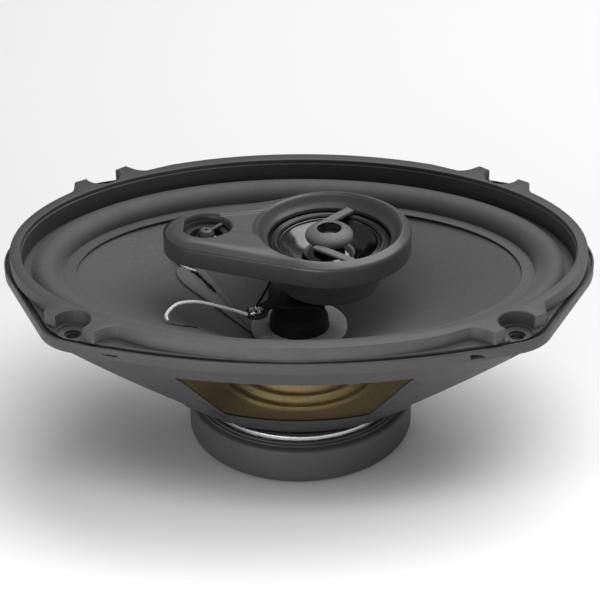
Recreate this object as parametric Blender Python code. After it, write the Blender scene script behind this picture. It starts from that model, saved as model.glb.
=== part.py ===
"""Coaxial 6 x 9 inch car speaker, modelled piece by piece.

Frame: origin at the centre of the magnet boot's underside, +X along the long axis, -Y towards the
front edge and +Z up through the cone's mouth. Sizes below are in millimetres, and every mesh is
written in metres.
"""

import math

import bmesh
import bpy
from mathutils import Matrix

MM = 0.001

# Flange and basket
FLANGE_HALF_LENGTH = 118.5
FLANGE_HALF_WIDTH = 82.0
FLANGE_FRONT_RADIUS = 240.0
FLANGE_CORNER = (93.8, 63.4)
FLANGE_CORNER_RADIUS = 20.0
FLANGE_END_RADIUS = 40.0
FLANGE_END_TURN = 25.0
SKIRT_BOTTOM = 74.2
LIP_TOP = 79.0
LIP = 0.9
FLANGE_UNDERSIDE = 76.4
FLANGE_TOP = 77.8
SHELF_TOP = 74.5
SHELF_UNDERSIDE = 73.2
WALL = 1.2
SHELF_IN_A, SHELF_IN_B = 106.1, 70.7
SHELF_OUT_A, SHELF_OUT_B = 113.3, 76.6
BASKET_RING_BOTTOM, BASKET_RING_TOP = 19.8, 21.2
FOOT_A, FOOT_B, FOOT_Z = 50.0, 38.8, 20.6
MOUTH_INSET, MOUTH_Z = 3.0, 73.5
WALL_BULGE = 0.93
SPIDER_LEDGE = 26.8
WINDOW_BOTTOM, WINDOW_TOP = 28.8, 63.5
HOLE_X, HOLE_Y = 84.4, 60.0
SCREW_HOLE_R = 2.6
DIMPLE_R = 6.0
CORNER_SIGNS = ((1, 1), (-1, 1), (-1, -1), (1, -1))

# Gasket
GASKET_TOP = 85.2
GASKET_PLATE_TOP = 79.8
GASKET_PLATE_BOTTOM = 78.1
GASKET_SKIRT_BOTTOM = 75.7
GASKET_IN_A, GASKET_IN_B = 111.1, 74.5
GASKET_OUT_A, GASKET_OUT_B = 115.8, 80.6
RECESS_R = 7.3

# Motor
BOOT_R = 46.1
BACK_PLATE_R = 40.0
POLE_R = 14.3
MAGNET_R, MAGNET_BORE = 44.4, 20.0
TOP_PLATE_R, TOP_PLATE_BORE = 41.0, 16.3
TOP_PLATE_BOTTOM, TOP_PLATE_TOP = 15.3, 19.5

# Moving system
FORMER_IN, FORMER_OUT = 14.7, 15.1
WINDING_IN, WINDING_OUT = 15.4, 15.9
CONE_NECK_R, CONE_NECK_Z = 15.5, 38.8
CONE_RIM_A, CONE_RIM_B, CONE_RIM_Z = 94.6, 59.6, 71.8
ROLL_OUT_A, ROLL_OUT_B = 107.2, 71.5
ROLL_IN_A, ROLL_IN_B = 95.3, 60.0
ROLL_TOP = 78.6

# Pod and the drivers it carries
POD_X = 12.5
POD_R = 33.0
POD_TIP_X, POD_TIP_R = -37.5, 16.5
POD_BOTTOM, POD_SHOULDER, POD_TOP = 83.0, 90.9, 93.3
POD_OPENING_R, POD_OPENING_Z = 24.8, 88.2
POD_WALL = 1.8
CUP_R, CUP_BOTTOM, CUP_TOP = 20.4, 67.5, 77.0
TWEETER_X = -36.8
TWEETER_RECESS_R = 9.6
POST_R, POST_TOP = 10.6, 60.6
COLLAR_R, COLLAR_TOP = 12.0, 51.5
BALL_ARM_WIDTH = 3.8
BALL_ARMS = (("back", (8.7, 8.4), (20.8, 22.1), 89.6), ("front", (7.0, -8.6), (22.5, -21.0), 89.2))
RIVETS = (("front", -16.7, -14.7), ("back", -12.0, 18.0))
SPIDER_LAND = (56.3, 42.2)

MOTOR_SEGMENTS = 36
SMALL_SEGMENTS = 24
WINDOW_EDGE = math.radians(34.5)
END_WINDOW_EDGE = math.radians(32.0)


# ---------------------------------------------------------------- materials

def material(name, colour, roughness, metallic=0.0):
    """A Principled material in the part's own colour."""
    mat = bpy.data.materials.get(name) or bpy.data.materials.new(name)
    mat.use_nodes = True
    shader = mat.node_tree.nodes["Principled BSDF"]
    shader.inputs["Base Color"].default_value = (*colour, 1.0)
    shader.inputs["Roughness"].default_value = roughness
    shader.inputs["Metallic"].default_value = metallic
    return mat


def steel_black():
    return material("black_painted_steel", (0.055, 0.055, 0.058), 0.45)


def steel_bare():
    return material("zinc_plated_steel", (0.55, 0.56, 0.57), 0.35, 1.0)


def ferrite():
    return material("ferrite", (0.045, 0.045, 0.047), 0.7)


def rubber():
    return material("moulded_rubber", (0.05, 0.05, 0.05), 0.75)


def plastic_black():
    return material("black_plastic", (0.04, 0.04, 0.042), 0.5)


def cone_paper():
    return material("coated_paper", (0.07, 0.07, 0.075), 0.8)


def surround_rubber():
    return material("surround_rubber", (0.065, 0.065, 0.067), 0.7)


def gasket_plastic():
    return material("gasket_plastic", (0.085, 0.085, 0.087), 0.65)


def spider_cloth():
    return material("spider_cloth", (0.30, 0.20, 0.07), 0.9)


def felt():
    return material("grey_felt", (0.10, 0.10, 0.10), 1.0)


def metallised_film():
    return material("metallised_film", (0.42, 0.42, 0.44), 0.2, 1.0)


def copper():
    return material("copper_wire", (0.72, 0.38, 0.22), 0.35, 1.0)


def kapton():
    return material("former_film", (0.45, 0.25, 0.08), 0.4)


def brass():
    return material("tinned_brass", (0.75, 0.70, 0.55), 0.3, 1.0)


def tinsel():
    return material("tinsel_braid", (0.80, 0.80, 0.78), 0.6)


def fibre_board():
    return material("fibre_board", (0.03, 0.028, 0.027), 0.7)


# ---------------------------------------------------------------- mesh helpers

def finish(name, bm, mat, smooth_angle=35.0, location=(0.0, 0.0, 0.0), parent=None):
    """Turns a bmesh in millimetres into a named object in metres."""
    bmesh.ops.recalc_face_normals(bm, faces=bm.faces)
    bmesh.ops.scale(bm, vec=(MM, MM, MM), verts=bm.verts)
    mesh = bpy.data.meshes.new(name)
    bm.to_mesh(mesh)
    bm.free()
    mesh.shade_smooth()
    mesh.set_sharp_from_angle(angle=math.radians(smooth_angle))
    mesh.materials.append(mat)
    obj = bpy.data.objects.new(name, mesh)
    obj.location = [value * MM for value in location]
    obj.parent = parent
    bpy.context.scene.collection.objects.link(obj)
    return obj


def axis_empty(name, x, y, z):
    """An empty on a joint's axis, which the pieces moving on it hang from."""
    empty = bpy.data.objects.new(name, None)
    empty.location = (x * MM, y * MM, z * MM)
    bpy.context.scene.collection.objects.link(empty)
    return empty


def join_rings(bm, rings, closed):
    """Quads between rings with equal point counts. An open stack gets flat caps."""
    count = len(rings[0])
    verts = [[bm.verts.new(point) for point in ring] for ring in rings]
    last = len(rings) if closed else len(rings) - 1
    for row in range(last):
        lower = verts[row]
        upper = verts[(row + 1) % len(rings)]
        for i in range(count):
            j = (i + 1) % count
            bm.faces.new((lower[i], lower[j], upper[j], upper[i]))
    if not closed:
        bm.faces.new(verts[0])
        bm.faces.new(verts[-1])
    return verts


def circle(radius, z, segments, x=0.0, y=0.0):
    turn = 2.0 * math.pi / segments
    return [(x + radius * math.cos(i * turn), y + radius * math.sin(i * turn), z) for i in range(segments)]


def turned(name, profile, mat, segments=MOTOR_SEGMENTS, closed=True, location=(0.0, 0.0, 0.0), parent=None):
    """A turned piece: profile holds (radius, z). Closed makes a ring, open makes a capped solid."""
    bm = bmesh.new()
    join_rings(bm, [circle(radius, z, segments) for radius, z in profile], closed)
    return finish(name, bm, mat, location=location, parent=parent)


def box(bm, low, high):
    """An upright box between two corners."""
    made = bmesh.ops.create_cube(bm, size=1.0)
    size = [high[i] - low[i] for i in range(3)]
    middle = [(high[i] + low[i]) / 2.0 for i in range(3)]
    bmesh.ops.scale(bm, vec=size, verts=made["verts"])
    bmesh.ops.translate(bm, vec=middle, verts=made["verts"])


def prism(name, outline, bottom, top, mat):
    """A flat piece: an outline of (x, y) points raised from bottom to top."""
    bm = bmesh.new()
    join_rings(bm, [[(x, y, z) for x, y in outline] for z in (bottom, top)], closed=False)
    return finish(name, bm, mat)


def combine(target, tool, operation):
    """Leaves an exact Boolean on the target and hides the tool."""
    tool.hide_render = True
    tool.display_type = "WIRE"
    modifier = target.modifiers.new(tool.name, "BOOLEAN")
    modifier.operation = operation
    modifier.solver = "EXACT"
    modifier.object = tool


def cut(target, cutter):
    combine(target, cutter, "DIFFERENCE")


def weld(target, addition):
    combine(target, addition, "UNION")


def smooth_route(points, samples):
    """Catmull-Rom points through a cord's own route points."""
    padded = [points[0]] + list(points) + [points[-1]]
    route = []
    for i in range(1, len(padded) - 2):
        before, start, end, after = padded[i - 1:i + 3]
        for k in range(samples):
            t = k / samples
            route.append(tuple(
                0.5 * (2.0 * start[c] + (end[c] - before[c]) * t
                       + (2.0 * before[c] - 5.0 * start[c] + 4.0 * end[c] - after[c]) * t ** 2
                       + (3.0 * start[c] - before[c] - 3.0 * end[c] + after[c]) * t ** 3)
                for c in range(3)))
    route.append(tuple(points[-1]))
    return route


def lead(name, points, diameter, mat, samples=3):
    """A flexible lead: a bevelled curve with filled ends along a smooth route."""
    route = smooth_route(points, samples)
    curve = bpy.data.curves.new(name, "CURVE")
    curve.dimensions = "3D"
    curve.bevel_depth = diameter / 2.0 * MM
    curve.bevel_resolution = 2
    curve.use_fill_caps = True
    curve.materials.append(mat)
    spline = curve.splines.new("POLY")
    spline.points.add(len(route) - 1)
    for point, (x, y, z) in zip(spline.points, route):
        point.co = (x * MM, y * MM, z * MM, 1.0)
    obj = bpy.data.objects.new(name, curve)
    bpy.context.scene.collection.objects.link(obj)
    return obj


# ---------------------------------------------------------------- outlines

def oval_radius(angle, a, b):
    """Distance from the centre to an a x b oval in the direction of a polar angle."""
    return a * b / math.hypot(b * math.cos(angle), a * math.sin(angle))


def ring_at(angles, radius_of, z):
    return [(radius_of(t) * math.cos(t), radius_of(t) * math.sin(t), z) for t in angles]


def oval_ring(angles, a, b, z):
    return ring_at(angles, lambda t: oval_radius(t, a, b), z)


def arc(cx, cy, radius, start, end, steps):
    """Points on a circular arc between two angles in degrees, ends included."""
    points = []
    for i in range(steps + 1):
        t = math.radians(start + (end - start) * i / steps)
        points.append((cx + radius * math.cos(t), cy + radius * math.sin(t)))
    return points


def flange_quarter():
    """The flange's outline from its +X end round to its +Y edge."""
    points = arc(FLANGE_HALF_LENGTH - FLANGE_END_RADIUS, 0.0, FLANGE_END_RADIUS, 0.0, FLANGE_END_TURN, 4)
    corner_x, corner_y = FLANGE_CORNER
    edge_tilt = 19.0
    half_turn = (90.0 - FLANGE_END_TURN - edge_tilt) / 2.0
    towards = math.radians(FLANGE_END_TURN + half_turn)
    reach = FLANGE_CORNER_RADIUS / math.cos(math.radians(half_turn))
    cx = corner_x - reach * math.cos(towards)
    cy = corner_y - reach * math.sin(towards)
    points += arc(cx, cy, FLANGE_CORNER_RADIUS, FLANGE_END_TURN, 90.0 - edge_tilt, 6)
    front_y = FLANGE_HALF_WIDTH - FLANGE_FRONT_RADIUS
    points += arc(0.0, front_y, FLANGE_FRONT_RADIUS, 90.0 - edge_tilt, 90.0, 8)
    return points


def all_quarters(quarter):
    """Mirrors a +X +Y quarter outline into a whole closed outline without doubled points."""
    back = quarter + [(-x, y) for x, y in reversed(quarter[:-1])]
    return back + [(x, -y) for x, y in reversed(back[1:-1])]


FLANGE_OUTLINE = all_quarters(flange_quarter())


def flange_radius(angle):
    """Where a ray from the centre crosses the flange's outline."""
    dx, dy = math.cos(angle), math.sin(angle)
    best = 0.0
    for i, (x0, y0) in enumerate(FLANGE_OUTLINE):
        x1, y1 = FLANGE_OUTLINE[(i + 1) % len(FLANGE_OUTLINE)]
        ex, ey = x1 - x0, y1 - y0
        det = ex * dy - ey * dx
        if abs(det) < 1e-12:
            continue
        along = (y0 * dx - x0 * dy) / det
        reach = (x0 * ey - y0 * ex) / -det
        if -1e-9 <= along <= 1.0 + 1e-9 and reach > best:
            best = reach
    return best


def basket_angles():
    """Directions round the basket: even steps that land on the window edges."""
    window = math.pi / 2.0 - WINDOW_EDGE
    stops = [(0.0, END_WINDOW_EDGE, 5), (END_WINDOW_EDGE, window, 3), (window, math.pi / 2.0, 4)]
    quarter = [a + (b - a) * i / n for a, b, n in stops for i in range(n)]
    half = quarter + [math.pi / 2.0] + [math.pi - t for t in reversed(quarter[1:])]
    return half + [math.pi + t for t in half]


ANGLES = basket_angles()


def in_window(angle, next_angle):
    """Says whether the step between two directions lies in one of the four windows."""
    middle = (angle + next_angle) / 2.0
    from_side = abs(abs(math.atan2(math.sin(middle), math.cos(middle))) - math.pi / 2.0)
    from_end = abs(math.sin(middle))
    return from_side < WINDOW_EDGE or from_end < math.sin(END_WINDOW_EDGE)


# ---------------------------------------------------------------- frame pieces

def make_basket():
    """Pressed steel basket: motor ring, spider ledge, four windows, shelf, flange and rim."""
    bm = bmesh.new()

    def flange(inset, z):
        return ring_at(ANGLES, lambda t: flange_radius(t) - inset, z)

    def round_ring(radius, z):
        return oval_ring(ANGLES, radius, radius, z)

    def wall(z, inset):
        share = ((z - FOOT_Z) / (MOUTH_Z - FOOT_Z)) ** WALL_BULGE
        return ring_at(ANGLES, lambda t: (oval_radius(t, FOOT_A, FOOT_B) * (1.0 - share)
                                          + (flange_radius(t) - MOUTH_INSET) * share - inset), z)

    rings = [
        round_ring(25.0, BASKET_RING_BOTTOM),
        oval_ring(ANGLES, FOOT_A - 0.8, FOOT_B - 0.8, BASKET_RING_BOTTOM),
        oval_ring(ANGLES, FOOT_A, FOOT_B, FOOT_Z),
        wall(WINDOW_BOTTOM, 0.0),
        wall(WINDOW_TOP, 0.0),
        wall(MOUTH_Z, 0.0),
        flange(MOUTH_INSET, FLANGE_UNDERSIDE),
        flange(LIP + 0.2, FLANGE_UNDERSIDE),
        flange(LIP + 0.2, SKIRT_BOTTOM),
        flange(0.0, SKIRT_BOTTOM),
        flange(0.0, LIP_TOP - 0.6),
        flange(0.3, LIP_TOP),
        flange(LIP, LIP_TOP),
        flange(LIP, FLANGE_TOP),
        oval_ring(ANGLES, SHELF_OUT_A, SHELF_OUT_B, FLANGE_TOP),
        oval_ring(ANGLES, SHELF_OUT_A, SHELF_OUT_B, SHELF_TOP),
        oval_ring(ANGLES, SHELF_IN_A, SHELF_IN_B, SHELF_TOP),
        oval_ring(ANGLES, SHELF_IN_A, SHELF_IN_B, SHELF_UNDERSIDE),
        wall(SHELF_UNDERSIDE - 0.5, WALL),
        wall(WINDOW_TOP, WALL),
        wall(WINDOW_BOTTOM, WALL),
        wall(SPIDER_LEDGE, WALL),
        round_ring(37.2, SPIDER_LEDGE),
        round_ring(36.6, BASKET_RING_TOP),
        round_ring(25.0, BASKET_RING_TOP),
    ]
    verts = join_rings(bm, rings, closed=True)
    outer_low, outer_high, inner_high, inner_low = verts[3], verts[4], verts[19], verts[20]
    count = len(ANGLES)
    for i in range(count):
        j = (i + 1) % count
        if not in_window(ANGLES[i], ANGLES[i] + (ANGLES[j] - ANGLES[i]) % (2.0 * math.pi)):
            continue
        for low, high in ((outer_low, outer_high), (inner_low, inner_high)):
            doomed = [f for f in low[i].link_faces
                      if {low[i], low[j], high[i], high[j]} == set(f.verts)]
            bmesh.ops.delete(bm, geom=doomed, context="FACES_ONLY")
        bm.faces.new((outer_low[i], outer_low[j], inner_low[j], inner_low[i]))
        bm.faces.new((outer_high[i], outer_high[j], inner_high[j], inner_high[i]))
        before = (i - 1) % count
        after = (j + 1) % count
        if not in_window(ANGLES[before], ANGLES[before] + (ANGLES[i] - ANGLES[before]) % (2.0 * math.pi)):
            bm.faces.new((outer_low[i], outer_high[i], inner_high[i], inner_low[i]))
        if not in_window(ANGLES[j], ANGLES[j] + (ANGLES[after] - ANGLES[j]) % (2.0 * math.pi)):
            bm.faces.new((outer_low[j], outer_high[j], inner_high[j], inner_low[j]))
    basket = finish("basket", bm, steel_black())
    for number, (sx, sy) in enumerate(CORNER_SIGNS):
        cut(basket, screw_cutter(f"basket_hole_{number}", sx, sy, SCREW_HOLE_R))


def screw_cutter(name, sign_x, sign_y, dimple_radius):
    """Cutter for one mounting screw: a through hole with a shallow dimple round its mouth."""
    profile = [(dimple_radius, LIP_TOP + 3.0), (dimple_radius, GASKET_PLATE_TOP - 0.9),
               (SCREW_HOLE_R, GASKET_PLATE_TOP - 1.1), (SCREW_HOLE_R, 58.0)]
    bm = bmesh.new()
    rings = [circle(radius, z, 16, sign_x * HOLE_X, sign_y * HOLE_Y) for radius, z in profile]
    join_rings(bm, rings, closed=False)
    return finish(name, bm, plastic_black())


def gasket_quarter():
    """The raised wall's outer edge from its +X end round to +Y, with the lugs beside one screw."""
    points = []
    for degrees in (0.0, 6.0, 12.0, 18.0, 24.0, 29.0, 34.0):
        t = math.radians(degrees)
        points.append((GASKET_OUT_A * math.cos(t), GASKET_OUT_B * math.sin(t)))
    points += [(95.5, 47.2), (95.9, 53.8)]
    points += arc(HOLE_X, HOLE_Y, RECESS_R, -22.0, -229.0, 12)
    points += [(76.3, 69.3)]
    points += arc(66.8, 74.6, 9.6, -52.0, -92.0, 4)
    for degrees in (61.0, 67.0, 73.0, 79.0, 84.5, 90.0):
        t = math.radians(degrees)
        points.append((GASKET_OUT_A * math.cos(t), GASKET_OUT_B * math.sin(t)))
    return points


def make_gasket_ring():
    """Trim gasket: flat plate on the flange, raised oval wall and eight lugs beside the screws."""
    contour = all_quarters(gasket_quarter())
    polar = [math.atan2(y, x) % (2.0 * math.pi) for x, y in contour]
    for i in range(1, len(polar)):
        polar[i] = max(polar[i], polar[i - 1] + 1e-4)

    def inset(t):
        return 1.25 + 1.15 * min(1.0, abs(math.cos(t)) * 2.0)

    def plate(z):
        return ring_at(polar, lambda t: flange_radius(t) - inset(t), z)

    bm = bmesh.new()
    join_rings(bm, [
        oval_ring(polar, GASKET_IN_A, GASKET_IN_B, GASKET_SKIRT_BOTTOM),
        oval_ring(polar, GASKET_IN_A + 1.6, GASKET_IN_B + 1.6, GASKET_SKIRT_BOTTOM),
        oval_ring(polar, GASKET_IN_A + 1.6, GASKET_IN_B + 1.6, GASKET_PLATE_BOTTOM),
        plate(GASKET_PLATE_BOTTOM),
        plate(GASKET_PLATE_TOP),
        [(x, y, GASKET_PLATE_TOP) for x, y in contour],
        [(x, y, GASKET_TOP) for x, y in contour],
        oval_ring(polar, GASKET_IN_A, GASKET_IN_B, GASKET_TOP),
    ], closed=True)
    gasket = finish("gasket_ring", bm, gasket_plastic())
    for number, (sx, sy) in enumerate(CORNER_SIGNS):
        cut(gasket, screw_cutter(f"gasket_hole_{number}", sx, sy, DIMPLE_R))


# ---------------------------------------------------------------- motor

def make_motor():
    """Boot, yoke, ferrite magnet and top plate, stacked on the Z axis."""
    turned("magnet_boot", [
        (41.4, 17.4), (42.6, 17.2), (43.3, 16.4), (45.4, 15.5), (BOOT_R, 14.6), (BOOT_R, 2.4),
        (45.3, 0.7), (43.6, 0.0), (5.2, 0.0), (5.2, 1.0), (44.8, 1.0), (44.8, 15.3), (41.4, 15.3),
    ], rubber())
    turned("yoke", [
        (2.6, 20.0), (POLE_R - 0.6, 20.0), (POLE_R, 19.4), (POLE_R, 6.0), (BACK_PLATE_R, 6.0),
        (BACK_PLATE_R, 1.3), (5.2, 1.3), (5.2, 4.2), (2.6, 4.2),
    ], steel_bare())
    turned("ferrite_magnet", [
        (MAGNET_BORE, 15.0), (MAGNET_R, 15.0), (MAGNET_R, 6.3), (MAGNET_BORE, 6.3),
    ], ferrite())
    turned("top_plate", [
        (TOP_PLATE_BORE, TOP_PLATE_TOP), (TOP_PLATE_R - 0.4, TOP_PLATE_TOP),
        (TOP_PLATE_R, TOP_PLATE_TOP - 0.4), (TOP_PLATE_R, TOP_PLATE_BOTTOM),
        (TOP_PLATE_BORE, TOP_PLATE_BOTTOM),
    ], steel_bare())


# ---------------------------------------------------------------- moving system

def make_cone():
    """Paper cone from the coil's neck to its oval rim, gently flared."""
    bm = bmesh.new()
    stations = (0.0, 0.3, 0.62, 0.93, 1.0)
    thickness = 1.0

    def row(share, drop):
        bow = 4.5 * math.sin(math.pi * min(share / 0.93, 1.0))
        a = CONE_NECK_R + (CONE_RIM_A - CONE_NECK_R) * share
        b = CONE_NECK_R + (CONE_RIM_B - CONE_NECK_R) * share
        z = CONE_NECK_Z + (CONE_RIM_Z - CONE_NECK_Z) * min(share / 0.93, 1.0)
        return oval_ring(ANGLES, a, b, z + bow - drop)

    top = [row(share, 0.0) for share in stations]
    bottom = [row(share, thickness) for share in reversed(stations)]
    join_rings(bm, top + bottom, closed=True)
    finish("cone", bm, cone_paper())


def make_surround():
    """Half-roll surround between the cone's rim and the basket's shelf."""
    skin = 0.5
    inner_land, outer_land = 72.4, 75.0
    steps = 4

    def half_roll(offset):
        rows = [(0.0, inner_land + offset)]
        for i in range(steps + 1):
            t = math.pi * i / steps
            across = 0.5 - 0.5 * math.cos(t)
            base = inner_land + (outer_land - inner_land) * across
            rows.append((5.3 + (ROLL_OUT_A - ROLL_IN_A) * across, base + offset
                         + (ROLL_TOP - (inner_land + outer_land) / 2.0) * math.sin(t)))
        rows.append((112.6 - 90.0, outer_land + offset))
        return rows

    rows = half_roll(skin) + list(reversed(half_roll(0.0)))
    bm = bmesh.new()
    join_rings(bm, [oval_ring(ANGLES, 90.0 + out, 54.7 + out * 0.945, z) for out, z in rows], closed=True)
    finish("surround", bm, surround_rubber())


def make_spider():
    """Corrugated cloth spider from the former out to the basket's ledge."""
    centre_z, land_z, skin = 31.0, 27.1, 0.5
    waves, start, end = 3, 18.0, 36.0
    line = [(FORMER_OUT + 0.35, centre_z), (start, centre_z)]
    for i in range(1, 2 * waves):
        share = i / (2.0 * waves)
        height = 1.1 if i % 2 else -1.1
        line.append((start + (end - start) * share, centre_z + (land_z - centre_z) * share + height))
    line.append((end, land_z))
    angles = [2.0 * math.pi * i / 28 for i in range(28)]
    rows = [(r, r, z) for r, z in line] + [(*SPIDER_LAND, land_z)]
    top = [oval_ring(angles, a, b, z + skin) for a, b, z in rows]
    bottom = [oval_ring(angles, a, b, z) for a, b, z in reversed(rows)]
    bm = bmesh.new()
    join_rings(bm, top + bottom, closed=True)
    finish("spider", bm, spider_cloth())


def make_voice_coil():
    """Former and copper winding on the pole, and the felt ring that closes the cone's neck."""
    turned("voice_coil_former", [
        (FORMER_IN, 41.0), (FORMER_OUT, 41.0), (FORMER_OUT, 11.2), (FORMER_IN, 11.2),
    ], kapton(), segments=28)
    turned("voice_coil_winding", [
        (WINDING_IN, 23.4), (WINDING_OUT, 23.4), (WINDING_OUT, 11.4), (WINDING_IN, 11.4),
    ], copper(), segments=28)
    turned("felt_dust_ring", [
        (12.3, 47.6), (18.9, 48.4), (19.6, 47.6), (19.6, 46.2), (12.3, 45.2),
    ], felt(), segments=28)


# ---------------------------------------------------------------- centre post

def make_post():
    """Post on the pole, terminal strip across it, bracket under the pod and the long screw."""
    turned("centre_post", [
        (2.7, POST_TOP), (POST_R, POST_TOP), (POST_R, COLLAR_TOP + 3.0), (COLLAR_R, COLLAR_TOP),
        (COLLAR_R, 20.3), (2.7, 20.3),
    ], plastic_black(), segments=SMALL_SEGMENTS)
    outline = [(10.6, -10.8), (10.6, 10.8), (-6.5, 10.8), (-7.7, 16.6)]
    outline += arc(-12.0, 18.0, 4.4, 0.0, 180.0, 8)
    outline += [(-12.5, 10.8), (-12.5, -5.0)]
    outline += arc(-16.6, -14.7, 4.6, 95.0, 345.0, 10)
    outline += [(-11.8, -12.2), (-11.0, -10.8)]
    plate = prism("terminal_strip", outline, POST_TOP + 0.3, POST_TOP + 1.6, fibre_board())
    eye = turned("terminal_strip_bore", [(2.7, 70.0), (2.7, 50.0)], fibre_board(), 16, closed=False)
    cut(plate, eye)
    for label, x, y in RIVETS:
        hole = turned(f"rivet_hole_{label}", [(1.7, 70.0), (1.7, 50.0)], fibre_board(), 12, closed=False,
                      location=(x, y, 0.0))
        cut(plate, hole)
        turned(f"eyelet_rivet_{label}", [
            (0.7, 62.9), (1.5, 63.2), (2.9, 62.8), (2.9, 62.5), (1.4, 62.5), (1.4, 60.6),
            (2.6, 60.6), (2.6, 60.2), (0.7, 60.2),
        ], brass(), 12, location=(x, y, 0.0))
    bracket = [(-4.0, -7.5), (14.0, -8.5), (22.0, -5.5), (22.0, 5.5), (14.0, 8.5), (-4.0, 7.5)]
    rest = prism("pod_bracket", bracket, POST_TOP + 1.9, CUP_BOTTOM - 0.3, plastic_black())
    cut(rest, turned("bracket_bore", [(2.7, 66.0), (2.7, 50.0)], plastic_black(), 16, closed=False))
    turned("centre_screw", [(2.2, 64.5), (2.2, 3.6), (4.7, 3.6), (4.7, 1.6)], steel_bare(), 16, closed=False)


# ---------------------------------------------------------------- pod

def pod_rings_angles():
    """Directions from the pod's ring centre, closer together round its narrow end."""
    quarter = [0.0, 14.0, 28.0, 42.0, 56.0, 70.0, 84.0, 97.0, 110.0, 125.0, 140.0, 152.0, 160.0,
               165.0, 169.0, 173.0, 176.5]
    return [math.radians(t) for t in quarter + [180.0] + [360.0 - t for t in reversed(quarter[1:])]]


POD_ANGLES = pod_rings_angles()


def teardrop_radius(angle, inset):
    """Distance from the ring centre to the pod's outline, inset inwards."""
    big, small = POD_R - inset, POD_TIP_R - inset
    span = POD_X - POD_TIP_X
    tangent = math.acos((big - small) / span)
    from_tip = math.pi - abs(math.atan2(math.sin(angle), math.cos(angle)))
    if from_tip >= tangent:
        return big
    straight = big / math.cos(tangent - from_tip)
    touch = math.atan2(small * math.sin(tangent), span + small * math.cos(tangent))
    if from_tip >= touch:
        return straight
    return span * math.cos(from_tip) + math.sqrt(small ** 2 - (span * math.sin(from_tip)) ** 2)


def teardrop(inset, z):
    return [(x + POD_X, y, z) for x, y, z in ring_at(POD_ANGLES, lambda t: teardrop_radius(t, inset), z)]


def pod_circle(radius, z):
    return [(x + POD_X, y, z) for x, y, z in ring_at(POD_ANGLES, lambda t: radius, z)]


def make_pod():
    """Teardrop housing with the midrange mouth and the small tweeter's recess."""
    bm = bmesh.new()
    join_rings(bm, [
        teardrop(POD_WALL, POD_BOTTOM),
        teardrop(0.0, POD_BOTTOM),
        teardrop(0.0, POD_SHOULDER),
        teardrop(0.8, POD_TOP - 0.7),
        teardrop(2.5, POD_TOP),
        pod_circle(28.6, POD_TOP - 0.8),
        pod_circle(26.4, POD_OPENING_Z + 1.2),
        pod_circle(POD_OPENING_R, POD_OPENING_Z),
        pod_circle(POD_OPENING_R, POD_OPENING_Z - 1.4),
        pod_circle(27.0, POD_TOP - 3.4),
        teardrop(POD_WALL + 0.6, POD_TOP - 3.2),
    ], closed=True)
    pod = finish("pod_housing", bm, plastic_black())
    cut(pod, turned("recess_cutter", [(TWEETER_RECESS_R, 100.0), (TWEETER_RECESS_R, 84.0)], plastic_black(),
                    20, closed=False, location=(TWEETER_X, 0.0, 0.0)))
    base_bm = bmesh.new()
    join_rings(base_bm, [
        teardrop(POD_WALL + 0.4, POD_BOTTOM + 0.2),
        teardrop(POD_WALL + 0.4, POD_BOTTOM + 1.4),
        pod_circle(22.6, POD_BOTTOM + 1.4),
        pod_circle(22.6, POD_BOTTOM + 0.2),
    ], closed=True)
    finish("pod_base", base_bm, plastic_black())


def make_midrange(axis):
    """Midrange driver hung under the pod: can, magnet, frame, cone, surround, dome and coil."""
    x = POD_X
    turned("midrange_can", [
        (10.9, CUP_TOP), (CUP_R, CUP_TOP), (CUP_R, 69.2), (18.6, CUP_BOTTOM), (2.2, CUP_BOTTOM),
        (2.2, 69.6), (16.0, 69.6), (16.0, 74.6), (10.9, 74.6),
    ], plastic_black(), 28, location=(x, 0.0, 0.0))
    turned("midrange_magnet", [(9.0, 76.8), (9.0, 69.9)], ferrite(), SMALL_SEGMENTS, closed=False,
           location=(x, 0.0, 0.0))
    turned("midrange_frame", [
        (19.6, 84.4), (24.2, 86.2), (24.2, 85.4), (21.8, 84.4), (20.4, 82.6), (20.4, 77.3),
        (12.4, 77.3), (12.4, 78.4), (18.4, 78.4),
    ], plastic_black(), 28, location=(x, 0.0, 0.0))
    turned("midrange_coil", [(9.6, 80.6), (10.1, 80.6), (10.1, 73.6), (9.6, 73.6)], copper(), SMALL_SEGMENTS,
           parent=axis)
    turned("midrange_cone", [
        (10.5, 80.3), (15.0, 82.2), (19.4, 85.6), (20.2, 86.2), (20.2, 85.8), (19.4, 84.9),
        (15.0, 81.6), (10.5, 79.8),
    ], metallised_film(), 28, parent=axis)
    turned("midrange_surround", [
        (20.5, 86.5), (21.8, 87.5), (23.0, 86.9), (24.2, 86.9), (24.2, 86.5), (23.0, 86.5),
        (21.8, 87.1), (20.6, 86.2),
    ], surround_rubber(), 28, location=(x, 0.0, 0.0))
    turned("midrange_dome", [
        (10.1, 81.0), (9.2, 82.5), (6.8, 83.6), (3.4, 84.0), (3.4, 83.6), (6.7, 83.1), (8.9, 82.0), (9.6, 81.0),
    ], metallised_film(), SMALL_SEGMENTS, parent=axis)


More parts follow.
